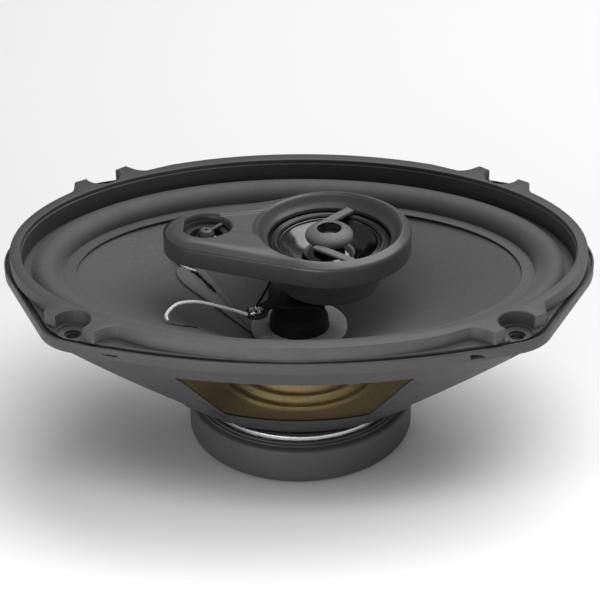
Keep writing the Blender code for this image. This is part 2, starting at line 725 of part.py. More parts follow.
def make_tweeter_ball():
    """Squashed ball over the midrange dome, on two arms, with its super tweeter inside."""
    bm = bmesh.new()
    centre_z, flat = 89.2, 0.44
    outer = 9.7
    inner = 8.6

    def shell(radius, tilt):
        return circle(radius * math.cos(tilt), centre_z + radius * flat * math.sin(tilt), 20, POD_X)

    tilts = [math.radians(t) for t in (-58.0, -30.0, 0.0, 30.0, 58.0)]
    inner_rings = [shell(inner, t) for t in tilts]
    outer_rings = [shell(outer, t) for t in tilts]
    join_rings(bm, outer_rings + list(reversed(inner_rings)), closed=True)
    ball = finish("tweeter_ball", bm, plastic_black())
    for label, start, end, top in BALL_ARMS:
        length = math.dist(start, end)
        arm = bmesh.new()
        box(arm, (0.0, -BALL_ARM_WIDTH / 2.0, 88.0), (length, BALL_ARM_WIDTH / 2.0, top))
        turn = Matrix.Rotation(math.atan2(end[1] - start[1], end[0] - start[0]), 3, "Z")
        bmesh.ops.rotate(arm, cent=(0.0, 0.0, 0.0), verts=arm.verts, matrix=turn)
        weld(ball, finish(f"ball_arm_{label}", arm, plastic_black(), location=(*start, 0.0)))
    turned("super_tweeter", [(3.0, 89.9), (5.5, 89.3), (6.8, 88.4), (6.8, 87.7)],
           metallised_film(), 20, closed=False, location=(POD_X, 0.0, 0.0))


def make_tweeter(axis):
    """Small tweeter in the pod's narrow end: capsule, moving dome and the fixed boss over it."""
    turned("tweeter_capsule", [
        (6.6, 89.3), (9.2, 89.3), (9.2, 86.7), (3.0, 86.7), (3.0, 87.3), (6.6, 87.3),
    ], plastic_black(), SMALL_SEGMENTS, location=(TWEETER_X, 0.0, 0.0))
    turned("tweeter_dome", [
        (6.1, 87.8), (4.6, 88.8), (2.2, 89.2), (2.2, 88.8), (4.4, 88.4), (5.7, 87.8),
    ], metallised_film(), SMALL_SEGMENTS, parent=axis)
    boss = turned("tweeter_boss", [(2.8, 89.7), (2.8, 90.9), (2.1, 91.7), (0.6, 91.7), (0.6, 89.7)],
                  plastic_black(), 16, location=(TWEETER_X, 0.0, 0.0))
    arm = bmesh.new()
    box(arm, (2.0, -0.7, 89.7), (9.0, 0.7, 90.8))
    turn = Matrix.Rotation(math.radians(50.0), 3, "Z")
    bmesh.ops.rotate(arm, cent=(0.0, 0.0, 0.0), verts=arm.verts, matrix=turn)
    weld(boss, finish("tweeter_boss_arm", arm, plastic_black(), location=(TWEETER_X, 0.0, 0.0)))
    can = turned("crossover_capacitor", [(2.3, 5.0), (2.3, -5.0)], plastic_black(), 12, closed=False,
                 location=(-22.0, 0.0, 86.9))
    can.rotation_euler = (math.radians(90.0), 0.0, 0.0)


# ---------------------------------------------------------------- leads and terminals

def make_leads():
    """Braided tinsel leads to the cone and the insulated wires up into the pod."""
    for label, side in (("front", -1.0), ("back", 1.0)):
        lead(f"rear_lead_{label}", [
            (side * 8.0, 45.6, 31.9), (side * 8.0, 45.2, 37.0), (side * 8.6, 43.0, 44.0),
            (side * 9.0, 38.5, 49.5), (side * 9.0, 34.4, 51.6),
        ], 1.5, tinsel())
    lead("pod_wire_front", [
        (-16.4, -12.8, 64.1), (-14.2, -8.8, 66.2), (-11.8, -4.8, 69.4), (-10.2, -2.8, 76.0), (-9.8, -2.4, 82.7),
    ], 1.0, plastic_black())
    lead("pod_wire_back", [
        (-12.2, 16.0, 64.1), (-10.9, 11.0, 66.0), (-9.8, 6.0, 69.6), (-9.6, 3.0, 76.0), (-9.8, 2.4, 82.7),
    ], 1.0, plastic_black())
    lead("cone_lead_front", [
        (-20.0, -18.3, 62.9), (-22.5, -18.0, 63.7), (-26.0, -18.2, 65.0), (-36.3, -20.0, 69.1),
        (-41.7, -22.0, 70.9), (-47.0, -25.0, 71.7), (-50.2, -28.0, 70.6), (-51.4, -30.3, 69.2),
        (-50.8, -31.4, 68.0),
    ], 1.5, tinsel())
    lead("cone_lead_back", [
        (-16.0, 18.8, 63.3), (-21.0, 20.5, 66.0), (-32.0, 23.0, 70.0), (-41.0, 25.2, 71.4),
        (-48.0, 26.4, 70.2), (-51.6, 25.6, 67.6), (-51.0, 23.4, 65.2),
    ], 1.5, tinsel())


def make_terminals():
    """Fibre board on the back window's sill with a wide and a narrow spade lug."""
    board = bmesh.new()
    box(board, (-15.0, 44.2, 28.9), (15.0, 56.0, 30.3))
    finish("terminal_board", board, fibre_board())
    for label, side, width in (("wide", -1.0, 6.3), ("narrow", 1.0, 4.8)):
        lug = bmesh.new()
        middle = side * 8.0
        box(lug, (middle - width / 2.0, 44.6, 30.6), (middle + width / 2.0, 66.0, 31.4))
        finish(f"terminal_lug_{label}", lug, brass())


def main():
    for old in list(bpy.data.objects):
        bpy.data.objects.remove(old, do_unlink=True)
    make_basket()
    make_gasket_ring()
    make_motor()
    make_cone()
    make_surround()
    make_spider()
    make_voice_coil()
    make_post()
    make_pod()
    make_midrange(axis_empty("midrange_axis", POD_X, 0.0, 0.0))
    make_tweeter_ball()
    make_tweeter(axis_empty("tweeter_axis", TWEETER_X, 0.0, 0.0))
    make_leads()
    make_terminals()


main()
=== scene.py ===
"""Looks of a coaxial 6 x 9 inch car speaker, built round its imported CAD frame.

Sizes are in millimetres in the CAD frame: origin under the magnet boot, +X along the flange's long axis,
-Y towards the front and +Z out of the cone's mouth. Meshes are written in metres.
"""

import math

import bmesh
import bpy
import numpy as np
from mathutils import Matrix, Vector, noise


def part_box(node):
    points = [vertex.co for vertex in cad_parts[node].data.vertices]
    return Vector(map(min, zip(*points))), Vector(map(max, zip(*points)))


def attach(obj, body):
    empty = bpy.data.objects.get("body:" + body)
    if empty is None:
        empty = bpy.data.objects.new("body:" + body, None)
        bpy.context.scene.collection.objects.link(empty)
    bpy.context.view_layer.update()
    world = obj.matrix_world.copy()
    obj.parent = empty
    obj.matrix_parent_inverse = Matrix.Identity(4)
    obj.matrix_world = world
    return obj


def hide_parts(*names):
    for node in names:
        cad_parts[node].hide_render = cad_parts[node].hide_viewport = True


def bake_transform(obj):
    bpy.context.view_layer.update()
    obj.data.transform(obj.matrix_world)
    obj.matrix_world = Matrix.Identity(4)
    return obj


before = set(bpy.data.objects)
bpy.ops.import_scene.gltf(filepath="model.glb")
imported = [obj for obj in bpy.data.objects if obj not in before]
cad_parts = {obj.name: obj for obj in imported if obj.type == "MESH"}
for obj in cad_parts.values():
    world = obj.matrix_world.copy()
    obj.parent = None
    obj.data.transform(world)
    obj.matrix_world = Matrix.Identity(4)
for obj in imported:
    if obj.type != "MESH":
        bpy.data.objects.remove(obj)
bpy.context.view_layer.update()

MM = 0.001
TAU = 2.0 * math.pi


def reach(node):
    """Lowest and highest corner of a CAD node, in millimetres."""
    low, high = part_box(node)
    return np.array(low) / MM, np.array(high) / MM


# Flange, basket and gasket
BASKET_LOW, BASKET_HIGH = reach("basket")
GASKET_LOW, GASKET_HIGH = reach("gasket_ring")
HALF_LENGTH, HALF_WIDTH, LIP_TOP = BASKET_HIGH
BASKET_FOOT = BASKET_LOW[2]
GASKET_TOP = GASKET_HIGH[2]
GASKET_SKIRT = GASKET_LOW[2]
FRONT_RADIUS, CORNER_RADIUS, END_RADIUS = 240.0, 20.0, 40.0
END_TURN, EDGE_TILT = 25.0, 19.0
CORNER = (93.8, 63.4)
SKIRT_BOTTOM, FLANGE_UNDERSIDE, FLANGE_TOP = 74.2, 76.4, 77.8
SHELF_TOP, SHELF_UNDERSIDE = 74.5, 73.2
SHELF_IN, SHELF_OUT = (106.1, 70.7), (113.3, 76.6)
FOOT, FOOT_Z = (50.0, 38.8), 20.6
MOUTH_INSET, MOUTH_Z, BULGE, WALL = 3.0, 73.5, 0.93, 1.2
WINDOW_BOTTOM, WINDOW_TOP = 28.8, 63.5
FRONT_WINDOW = (28.4, 46.3)
END_WINDOW = (30.2, 51.8)
SPIDER_LEDGE = 26.8
GASKET_IN, GASKET_OUT = (111.1, 74.5), (115.8, 80.6)
PLATE_TOP, PLATE_BOTTOM = 79.8, 78.1
HOLE_X, HOLE_Y, HOLE_R, GASKET_HOLE_R, DIMPLE_R, RECESS_R = 84.4, 60.0, 2.6, 3.3, 6.0, 7.3
SLOT_X, SLOT_HALF = 69.5, 3.1
CORNER_SIGNS = ((1, 1), (-1, 1), (-1, -1), (1, -1))

# Moving system
CONE_NECK_R, CONE_NECK_Z = 15.5, 38.8
CONE_RIM_A, CONE_RIM_B, CONE_RIM_Z, CONE_FLARE_END, CONE_BOW = 94.6, 59.6, 71.8, 0.93, 4.5
INNER_LAND_A, INNER_LAND_B, OUTER_LAND_A = 90.0, 54.7, 112.6
ROLL_IN_A, ROLL_OUT_A, ROLL_TOP = 95.3, 107.2, 78.6
INNER_LAND_Z, OUTER_LAND_Z, ROLL_SQUEEZE = 72.4, 75.0, 0.945

# Pod and its drivers
POD_X, POD_R, POD_TIP_X, POD_TIP_R = 12.5, 33.0, -37.5, 16.5
POD_BOTTOM = reach("pod_housing")[0][2]
POD_TOP = reach("pod_housing")[1][2]
OPENING_R, OPENING_Z = 24.8, 88.2
TWEETER_X = -36.8
BALL_Z, BALL_R, BALL_FLAT = 89.2, 9.7, 0.44
PIN_BORE_R = 2.7
RIVETS = {"front": (-16.7, -14.7), "back": (-12.0, 18.0)}
BALL_ARM_HALF = 1.9
BALL_ARMS = (("back", (8.7, 8.4), (20.8, 22.1), 89.6), ("front", (7.0, -8.6), (22.5, -21.0), 89.2))


# Camera: elevation, azimuth and roll in degrees, and the point it looks at
CAMERA_ANGLES = (30.19, 1.85, -0.82)
CAMERA_TARGET = (0.44, 0.0, 59.05)
CAMERA_REACH = 928.0
CAMERA_LENS = 136.86

# Studio
WORLD_STRENGTH = 0.22
FLOOR_HALF, FLOOR_DROP = 3000.0, 0.15
FLOOR_BOX_SPREAD = 75.0


# ---------------------------------------------------------------- shaders

class Shader:
    """A node material built step by step in object coordinates."""

    def __init__(self, name, colour, roughness, metallic=0.0, specular=0.5):
        self.mat = bpy.data.materials.new(name)
        self.mat.use_nodes = True
        self.tree = self.mat.node_tree
        self.surface = self.tree.nodes["Principled BSDF"]
        self.surface.inputs["Base Color"].default_value = (*colour, 1.0)
        self.surface.inputs["Roughness"].default_value = roughness
        self.surface.inputs["Metallic"].default_value = metallic
        self.surface.inputs["Specular IOR Level"].default_value = specular
        self.colour = colour
        self.roughness = roughness
        self.place = self.node("ShaderNodeTexCoord").outputs["Object"]
        self.height = None

    def node(self, kind, **settings):
        made = self.tree.nodes.new(kind)
        for key, value in settings.items():
            setattr(made, key, value)
        return made

    def link(self, source, target):
        self.tree.links.new(source, target)

    def math(self, operation, first, second=None, clamp=False):
        made = self.node("ShaderNodeMath", operation=operation, use_clamp=clamp)
        for socket, value in zip(made.inputs, (first, second)):
            if value is None:
                continue
            if isinstance(value, (int, float)):
                socket.default_value = value
            else:
                self.link(value, socket)
        return made.outputs[0]

    def noise(self, size, detail=3.0, stretch=(1.0, 1.0, 1.0)):
        """Noise whose blotches are about size millimetres across."""
        scaled = self.node("ShaderNodeMapping")
        scaled.inputs["Scale"].default_value = stretch
        self.link(self.place, scaled.inputs["Vector"])
        made = self.node("ShaderNodeTexNoise")
        made.inputs["Scale"].default_value = 1.0 / (size * MM)
        made.inputs["Detail"].default_value = detail
        self.link(scaled.outputs[0], made.inputs["Vector"])
        return made.outputs["Fac"]

    def spots(self, size, share):
        """Separate grains about size millimetres apart, covering roughly a share of the surface."""
        made = self.node("ShaderNodeTexVoronoi")
        made.inputs["Scale"].default_value = 1.0 / (size * MM)
        self.link(self.place, made.inputs["Vector"])
        return self.ramp(made.outputs["Distance"], share, share * 0.4)

    def ramp(self, value, low, high):
        """Maps low..high to 0..1."""
        made = self.node("ShaderNodeMapRange")
        made.inputs["From Min"].default_value = low
        made.inputs["From Max"].default_value = high
        self.link(value, made.inputs["Value"])
        return made.outputs["Result"]

    def axes(self):
        """The X, Y and Z of a point, in metres."""
        made = self.node("ShaderNodeSeparateXYZ")
        self.link(self.place, made.inputs[0])
        return made.outputs

    def tint(self, amount, colour):
        """Mixes a colour over what the surface has, by a 0..1 amount."""
        mix = self.node("ShaderNodeMix", data_type="RGBA")
        base = self.surface.inputs["Base Color"]
        if base.is_linked:
            self.link(base.links[0].from_socket, mix.inputs["A"])
        else:
            mix.inputs["A"].default_value = base.default_value
        mix.inputs["B"].default_value = (*colour, 1.0)
        self.link(amount, mix.inputs["Factor"])
        self.link(mix.outputs["Result"], base)
        return self

    def fleck(self, size, share, amount, colour):
        """Tints separate grains."""
        return self.tint(self.math("MULTIPLY", self.spots(size, share), amount), colour)

    def cloud(self, low, high, amount, colour, *grain):
        """Tints the patches where noise rises from low to high."""
        return self.tint(self.math("MULTIPLY", self.ramp(self.noise(*grain), low, high), amount), colour)

    def mottle(self, size, amount, detail=4.0):
        """Lightens and darkens the colour in soft blotches."""
        blotches = self.ramp(self.noise(size, detail), 0.35, 0.65)
        return self.tint(self.math("MULTIPLY", blotches, amount), [min(1.0, c * 1.9 + 0.004) for c in self.colour])

    def gloss(self, size, spread):
        """Varies the roughness a little either way."""
        varied = self.node("ShaderNodeMapRange")
        varied.inputs["To Min"].default_value = max(0.02, self.roughness - spread)
        varied.inputs["To Max"].default_value = min(1.0, self.roughness + spread)
        self.link(self.noise(size), varied.inputs["Value"])
        self.link(varied.outputs["Result"], self.surface.inputs["Roughness"])
        return self

    def relief(self, value, depth):
        """Adds a bump of depth millimetres, after any bump already there."""
        bump = self.node("ShaderNodeBump")
        bump.inputs["Strength"].default_value = 1.0
        bump.inputs["Distance"].default_value = depth * MM
        self.link(value, bump.inputs["Height"])
        if self.height is not None:
            self.link(self.height, bump.inputs["Normal"])
        self.height = bump.outputs["Normal"]
        self.link(self.height, self.surface.inputs["Normal"])
        return self

    def grain(self, depth, *grain):
        """Adds a bump of noise."""
        return self.relief(self.noise(*grain), depth)

    def sheen(self, weight, roughness=0.5):
        self.surface.inputs["Sheen Weight"].default_value = weight
        self.surface.inputs["Sheen Roughness"].default_value = roughness
        return self


def moulded(name, colour, roughness, grain=0.35, depth=0.012, specular=0.5):
    """Moulded plastic or rubber: fine skin grain, soft mottling and faint dust."""
    s = Shader(name, colour, roughness, specular=specular).mottle(9.0, 0.18).mottle(0.5, 0.22)
    s.fleck(2.4, 0.10, 0.35, (0.3, 0.3, 0.3)).gloss(3.0, 0.07)
    return s.grain(depth, grain, 2.0).grain(0.05, 14.0, 1.0).mat


def painted_steel():
    """Black stove enamel on pressed steel, with its slight orange peel."""
    s = Shader("painted_steel", (0.030, 0.0302, 0.031), 0.45).mottle(16.0, 0.2).mottle(0.6, 0.16)
    s.fleck(3.1, 0.08, 0.4, (0.3, 0.3, 0.3)).gloss(5.0, 0.08)
    return s.grain(0.02, 0.9, 2.0).grain(0.08, 22.0, 1.0).mat


def bare_steel():
    """Smooth zinc plate with soft clouding."""
    s = Shader("zinc_steel", (0.62, 0.63, 0.64), 0.26, metallic=1.0)
    return s.mottle(6.0, 0.3).gloss(4.0, 0.06).grain(0.01, 6.0, 1.0).mat


def coated_paper():
    """Pressed pulp under a matt black coat: fibre grain, pale specks and slow unevenness."""
    s = Shader("coated_paper", (0.043, 0.043, 0.0435), 0.62).mottle(26.0, 0.16, 2.0).mottle(0.42, 0.5)
    s.fleck(1.3, 0.14, 0.5, (0.24, 0.24, 0.25)).gloss(2.0, 0.08)
    return s.grain(0.03, 0.45, 4.0, (1.0, 0.45, 1.0)).grain(0.10, 7.0, 2.0).sheen(0.12).mat


def surround_rubber():
    """Soft matt rubber with a cloth-like skin."""
    s = Shader("surround_rubber", (0.042, 0.042, 0.043), 0.58).mottle(20.0, 0.2).mottle(0.5, 0.32)
    s.fleck(2.0, 0.10, 0.35, (0.26, 0.26, 0.26)).gloss(4.0, 0.08)
    return s.grain(0.02, 0.4, 3.0).grain(0.08, 9.0, 1.0).sheen(0.2).mat


def spider_cloth():
    """Resin-treated gold plain weave with brown patches; its raised crossings carry a painted highlight and its sunken
    ones painted shade.
    """
    s = Shader("spider_cloth", (0.66, 0.475, 0.19), 0.78)
    x, y, _ = s.axes()
    pitch = TAU / (0.62 * MM)
    warp = s.math("SINE", s.math("MULTIPLY", x, pitch))
    weft = s.math("SINE", s.math("MULTIPLY", y, pitch))
    crossing = s.math("MULTIPLY", warp, weft)
    threads = s.math("MAXIMUM", s.math("ABSOLUTE", warp), s.math("ABSOLUTE", weft))
    # Painted highlight on the raised thread crossings and painted shade on the sunken ones, following the relief
    # below.
    s.tint(s.math("MULTIPLY", s.ramp(crossing, 0.1, 0.9), 0.75), (0.86, 0.68, 0.36))
    s.tint(s.math("MULTIPLY", s.ramp(crossing, -0.2, -0.9), 0.65), (0.24, 0.15, 0.05))
    s.cloud(0.45, 0.75, 0.35, (0.76, 0.57, 0.26), 6.0).cloud(0.5, 0.75, 0.3, (0.12, 0.08, 0.03), 0.9, 5.0)
    s.relief(s.math("MULTIPLY", threads, s.math("ADD", crossing, 1.4)), 0.09)
    return s.gloss(3.0, 0.08).sheen(0.3).mat


def felt():
    """Grey felt with pale and dark fibres."""
    s = Shader("grey_felt", (0.38, 0.38, 0.384), 0.95)
    s.cloud(0.48, 0.62, 0.8, (0.24, 0.24, 0.23), 0.5, 5.0)
    s.cloud(0.56, 0.7, 0.7, (0.02, 0.02, 0.02), 0.8, 5.0, (1.0, 1.7, 1.0))
    return s.fleck(1.1, 0.16, 0.7, (0.42, 0.42, 0.4)).gloss(1.0, 0.05).grain(0.2, 0.5, 5.0).sheen(0.6).mat


def polished_film(name, colour, roughness):
    """Vacuum-metallised film: a mirror with faint ripples and hairlines."""
    s = Shader(name, colour, roughness, metallic=1.0)
    return s.mottle(5.0, 0.15).gloss(2.2, 0.035).grain(0.05, 5.0, 1.0).mat


def tinsel():
    """Pale woven lead wire."""
    s = Shader("tinsel_braid", (0.92, 0.92, 0.91), 0.5).mottle(1.4, 0.15)
    s.cloud(0.52, 0.7, 0.15, (0.5, 0.49, 0.47), 0.35, 3.0)
    return s.gloss(0.8, 0.12).grain(0.05, 0.22, 3.0).sheen(0.2).mat


def tinned():
    """Tin and solder: bright, with soft cloudy patches."""
    s = Shader("tinned_brass", (0.80, 0.78, 0.72), 0.24, metallic=1.0).mottle(1.6, 0.4)
    return s.cloud(0.5, 0.7, 0.5, (0.42, 0.40, 0.36), 0.8).gloss(0.9, 0.1).grain(0.04, 0.7, 2.0).mat


def ferrite():
    """Ground ferrite ceramic: dark grey, slightly pitted."""
    s = Shader("ferrite", (0.05, 0.05, 0.053), 0.55).mottle(1.2, 0.4)
    return s.fleck(1.8, 0.12, 1.0, (0.015, 0.015, 0.015)).gloss(2.0, 0.1).grain(0.05, 0.5, 4.0).mat


def copper_winding():
    """Enamelled wire wound round Z."""
    s = Shader("copper_winding", (0.70, 0.33, 0.16), 0.3, metallic=1.0)
    turns = s.math("SINE", s.math("MULTIPLY", s.axes()[2], math.pi / (0.25 * MM)))
    return s.relief(s.math("ABSOLUTE", turns), 0.06).mottle(2.0, 0.3).gloss(1.5, 0.06).mat


def former_film():
    """Amber polyimide film."""
    return Shader("former_film", (0.42, 0.22, 0.06), 0.32).mottle(3.0, 0.25).gloss(2.0, 0.06).grain(0.02, 1.5).mat


def glue(name, colour, roughness):
    """Dried rubber cement with an uneven skin."""
    return Shader(name, colour, roughness).mottle(2.0, 0.3).gloss(2.0, 0.1).grain(0.14, 2.2, 3.0).mat


# ---------------------------------------------------------------- mesh helpers

def add_mesh(name, points, faces, material, body="frame", stands_for=None, slot=None, sharp=35.0):
    """A smooth-shaded object from points in millimetres, riding on a CAD body."""
    mesh = bpy.data.meshes.new(name)
    mesh.from_pydata((np.asarray(points, float) * MM).tolist(), [], faces)
    bm = bmesh.new()
    bm.from_mesh(mesh)
    bmesh.ops.recalc_face_normals(bm, faces=bm.faces)
    bm.to_mesh(mesh)
    bm.free()
    mesh.shade_smooth()
    mesh.set_sharp_from_angle(angle=math.radians(sharp))
    mesh.materials.append(material)
    obj = bpy.data.objects.new(name, mesh)
    bpy.context.scene.collection.objects.link(obj)
    if body:
        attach(obj, body)
    if stands_for:
        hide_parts(stands_for)
    return obj


def band_faces(rows, count, closed, first=0):
    """Quads between rows of equal point counts, each row a closed ring."""
    faces = []
    for row in range(rows if closed else rows - 1):
        low = first + row * count
        high = first + ((row + 1) % rows) * count
        for i in range(count):
            j = (i + 1) % count
            faces.append((low + i, low + j, high + j, high + i))
    return faces


def loft(name, rings, material, closed=True, **options):
    """Skins a stack of rings. A closed stack is a tube-like ring; an open one gets capped ends."""
    rings = [np.asarray(ring, float) for ring in rings]
    count = len(rings[0])
    faces = band_faces(len(rings), count, closed)
    if not closed:
        faces.append(tuple(range(count)))
        faces.append(tuple(range((len(rings) - 1) * count, len(rings) * count)))
    return add_mesh(name, np.concatenate(rings), faces, material, **options)


def rounded(corners, steps=4, closed=True):
    """Rows of a section with softened corners. A corner is (radius, height, softening)."""
    shape = np.broadcast_shapes(*[np.shape(value) for corner in corners for value in corner[:2]])
    spots = [np.stack([np.broadcast_to(r, shape), np.broadcast_to(z, shape)], -1) for r, z, _ in corners]
    rows = []
    for i, (_, _, cut) in enumerate(corners):
        here = spots[i]
        at_end = not closed and i in (0, len(corners) - 1)
        if cut == 0.0 or at_end:
            rows.append(here)
            continue
        back = spots[i - 1] - here
        ahead = spots[(i + 1) % len(spots)] - here
        back_length = np.linalg.norm(back, axis=-1, keepdims=True) + 1e-9
        ahead_length = np.linalg.norm(ahead, axis=-1, keepdims=True) + 1e-9
        trim = np.minimum(cut, 0.48 * np.minimum(back_length, ahead_length))
        start = here + back / back_length * trim
        end = here + ahead / ahead_length * trim
        for k in range(steps + 1):
            t = k / steps
            rows.append((1.0 - t) ** 2 * start + 2.0 * t * (1.0 - t) * here + t * t * end)
    return rows


def spin(rows, angles, x=0.0, y=0.0):
    """Turns rows of (radius, height) into rings round a vertical axis."""
    rings = []
    for row in rows:
        row = np.broadcast_to(row, (len(angles), 2))
        rings.append(np.stack([x + row[:, 0] * np.cos(angles), y + row[:, 0] * np.sin(angles), row[:, 1]], -1))
    return rings


def level_ring(angles, radius, z):
    """A ring round Z with a radius and height for each direction."""
    return np.column_stack([radius * np.cos(angles), radius * np.sin(angles), np.broadcast_to(z, len(angles))])


def full_turn(count):
    """Even directions round a circle."""
    return np.arange(count) * TAU / count


def turned(name, corners, material, x=0.0, y=0.0, count=144, closed=True, steps=4, **options):
    """A turned piece from a section of (radius, height, softening) corners."""
    rows = rounded([(np.array(r, float), np.array(z, float), cut) for r, z, cut in corners], steps, closed)
    return loft(name, spin([row.reshape(1, 2) for row in rows], full_turn(count), x, y), material, closed, **options)


def oval(angles, size):
    """Distance from the centre to an oval of half sizes (a, b)."""
    return size[0] * size[1] / np.hypot(size[1] * np.cos(angles), size[0] * np.sin(angles))


def ease(value):
    """0 to 1 with soft ends."""
    value = np.clip(value, 0.0, 1.0)
    return value * value * (3.0 - 2.0 * value)


def arc(cx, cy, radius, start, end, steps):
    """Points on an arc between two angles in degrees, ends included."""
    turn = np.radians(np.linspace(start, end, steps + 1))
    return [(cx + radius * math.cos(t), cy + radius * math.sin(t)) for t in turn]


def all_quarters(quarter):
    """Mirrors a quarter outline into the whole closed outline."""
    half = quarter + [(-x, y) for x, y in reversed(quarter[:-1])]
    return half + [(x, -y) for x, y in reversed(half[1:-1])]


def apply_modifiers(obj):
    """Keeps an object's modified mesh and drops the modifiers."""
    graph = bpy.context.evaluated_depsgraph_get()
    mesh = bpy.data.meshes.new_from_object(obj.evaluated_get(graph))
    obj.modifiers.clear()
    old = obj.data
    obj.data = mesh
    bpy.data.meshes.remove(old)


def carve(target, cutters, sharp=35.0):
    """Cuts tools out of a piece for good and removes them."""
    for tool in cutters:
        modifier = target.modifiers.new(tool.name, "BOOLEAN")
        modifier.operation = "DIFFERENCE"
        modifier.solver = "MANIFOLD"
        modifier.object = tool
    bpy.context.view_layer.update()
    apply_modifiers(target)
    for tool in cutters:
        bpy.data.objects.remove(tool, do_unlink=True)
    target.data.shade_smooth()
    target.data.set_sharp_from_angle(angle=math.radians(sharp))


def bore(name, radius, material, x=0.0, y=0.0, low=50.0, high=70.0):
    """A cutter for a plain round hole."""
    return turned(name, [(radius, high, 0.0), (radius, low, 0.0)], material, x, y, 32, closed=False, body=None)


def tool_prism(name, outline, place, material):
    """A cutter whose outline is swept between two offsets; place(u, v, side) gives its points."""
    rings = [[place(u, v, side) for u, v in outline] for side in (0, 1)]
    return loft(name, rings, material, closed=False, body=None)


def soften(outline, cut, steps=4):
    """Rounds a closed (x, y) outline's sharp corners."""
    points = [np.array(point) for point in outline]
    result = []
    for i, here in enumerate(points):
        back = points[i - 1] - here
        ahead = points[(i + 1) % len(points)] - here
        back_length, ahead_length = np.linalg.norm(back), np.linalg.norm(ahead)
        straight = -float(back @ ahead) / (back_length * ahead_length)
        if straight > math.cos(math.radians(20.0)):
            result.append(tuple(here))
            continue
        trim = min(cut, 0.45 * back_length, 0.45 * ahead_length)
        start = here + back / back_length * trim
        end = here + ahead / ahead_length * trim
        for k in range(steps + 1):
            t = k / steps
            result.append(tuple((1.0 - t) ** 2 * start + 2.0 * t * (1.0 - t) * here + t * t * end))
    return result


def turned_plan(points, centre, turn):
    """Plan points turned about the origin by an angle and then moved to a centre."""
    return [(centre[0] + u * math.cos(turn) - v * math.sin(turn), centre[1] + u * math.sin(turn) + v * math.cos(turn))
            for u, v in points]


def inset_outline(outline, distance):
    """Moves a closed counter-clockwise outline inwards along its own normals."""
    points = np.array(outline)
    along = np.roll(points, -1, 0) - np.roll(points, 1, 0)
    normal = np.stack([-along[:, 1], along[:, 0]], -1)
    normal /= np.linalg.norm(normal, axis=1, keepdims=True) + 1e-9
    return points + normal * distance


def plate(name, outline, bottom, top, material, edge=0.25, **options):
    """A flat piece with softened edges, from a counter-clockwise outline."""
    outline = np.array(outline)
    inner = inset_outline(outline, edge)

    def ring(points, z):
        return np.column_stack([points, np.full(len(points), z)])

    rings = [ring(inner, bottom), ring(outline, bottom + edge), ring(outline, top - edge), ring(inner, top)]
    return loft(name, rings, material, closed=False, **options)


def smooth_route(points, spacing):
    """Catmull-Rom points through a cord's route, about spacing millimetres apart."""
    route = np.array(points, float)
    padded = np.vstack([2.0 * route[0] - route[1], route, 2.0 * route[-1] - route[-2]])
    made = []
    for before, start, end, after in zip(padded, padded[1:], padded[2:], padded[3:]):
        steps = max(2, round(float(np.linalg.norm(end - start)) / spacing))
        for k in range(steps):
            t = k / steps
            made.append(0.5 * (2.0 * start + (end - before) * t
                               + (2.0 * before - 5.0 * start + 4.0 * end - after) * t ** 2
                               + (3.0 * start - before - 3.0 * end + after) * t ** 3))
    made.append(route[-1])
    return np.array(made)


def moving_frames(route):
    """A pair of side vectors at each point that turn as little as they can along the route."""
    along = np.gradient(route, axis=0)
    along /= np.linalg.norm(along, axis=1, keepdims=True)
    side = np.cross(along[0], (0.3, 0.2, 1.0))
    sides = []
    for direction in along:
        side = side - direction * float(side @ direction)
        side = side / np.linalg.norm(side)
        sides.append(side)
    sides = np.array(sides)
    return sides, np.cross(along, sides)


def tube(route, radii, count, first=0):
    """Points and faces of a capped tube round a route, with a radius for each point."""
    side, up = moving_frames(route)
    turn = full_turn(count)
    radii = np.broadcast_to(radii, (len(route),))
    rings = (route[:, None, :] + radii[:, None, None] * (np.cos(turn)[None, :, None] * side[:, None, :]
                                                          + np.sin(turn)[None, :, None] * up[:, None, :]))
    faces = band_faces(len(route), count, False, first)
    faces.append(tuple(range(first, first + count)))
    last = first + (len(route) - 1) * count
    faces.append(tuple(range(last, last + count)))
    return rings.reshape(-1, 3), faces


def strand_lead(name, points, diameter, material, strands=3, pitch=3.0, **options):
    """A twisted lead: strands wound round one route. Returns it with each vertex's share of its length."""
    route = smooth_route(points, 0.35)
    gaps = np.linalg.norm(np.diff(route, axis=0), axis=1)
    length = np.concatenate([[0.0], np.cumsum(gaps)])
    side, up = moving_frames(route)
    strand_radius = diameter * 0.26
    offset = diameter / 2.0 - strand_radius
    all_points, all_faces, shares = [], [], []
    count = 7
    for strand in range(strands):
        turn = length / pitch * TAU + strand * TAU / strands
        centre = route + offset * (np.cos(turn)[:, None] * side + np.sin(turn)[:, None] * up)
        made, faces = tube(centre, strand_radius, count, len(all_points) * len(route) * count)
        all_points.append(made)
        all_faces += faces
        shares.append(np.repeat(length / length[-1], count))
    lead = add_mesh(name, np.concatenate(all_points), all_faces, material, sharp=80.0, **options)
    return lead, np.concatenate(shares)


def follow(obj, weights):
    """Bakes the world transform of a flexible piece with no parent into its mesh; weights is not used."""
    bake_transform(obj)


def bead(name, points, radii, material, **options):
    """A run of glue along a route, thick and thin by turns."""
    route = smooth_route(points, 0.3)
    share = np.linspace(0.0, 1.0, len(route))
    size = np.interp(share, np.linspace(0.0, 1.0, len(radii)), radii)
    wobble = np.array([noise.noise(Vector(p) * 1.3) for p in route])
    made, faces = tube(route, size * (1.0 + 0.45 * wobble), 10)
    return add_mesh(name, made, faces, material, sharp=60.0, **options)


# ---------------------------------------------------------------- flange, basket and gasket

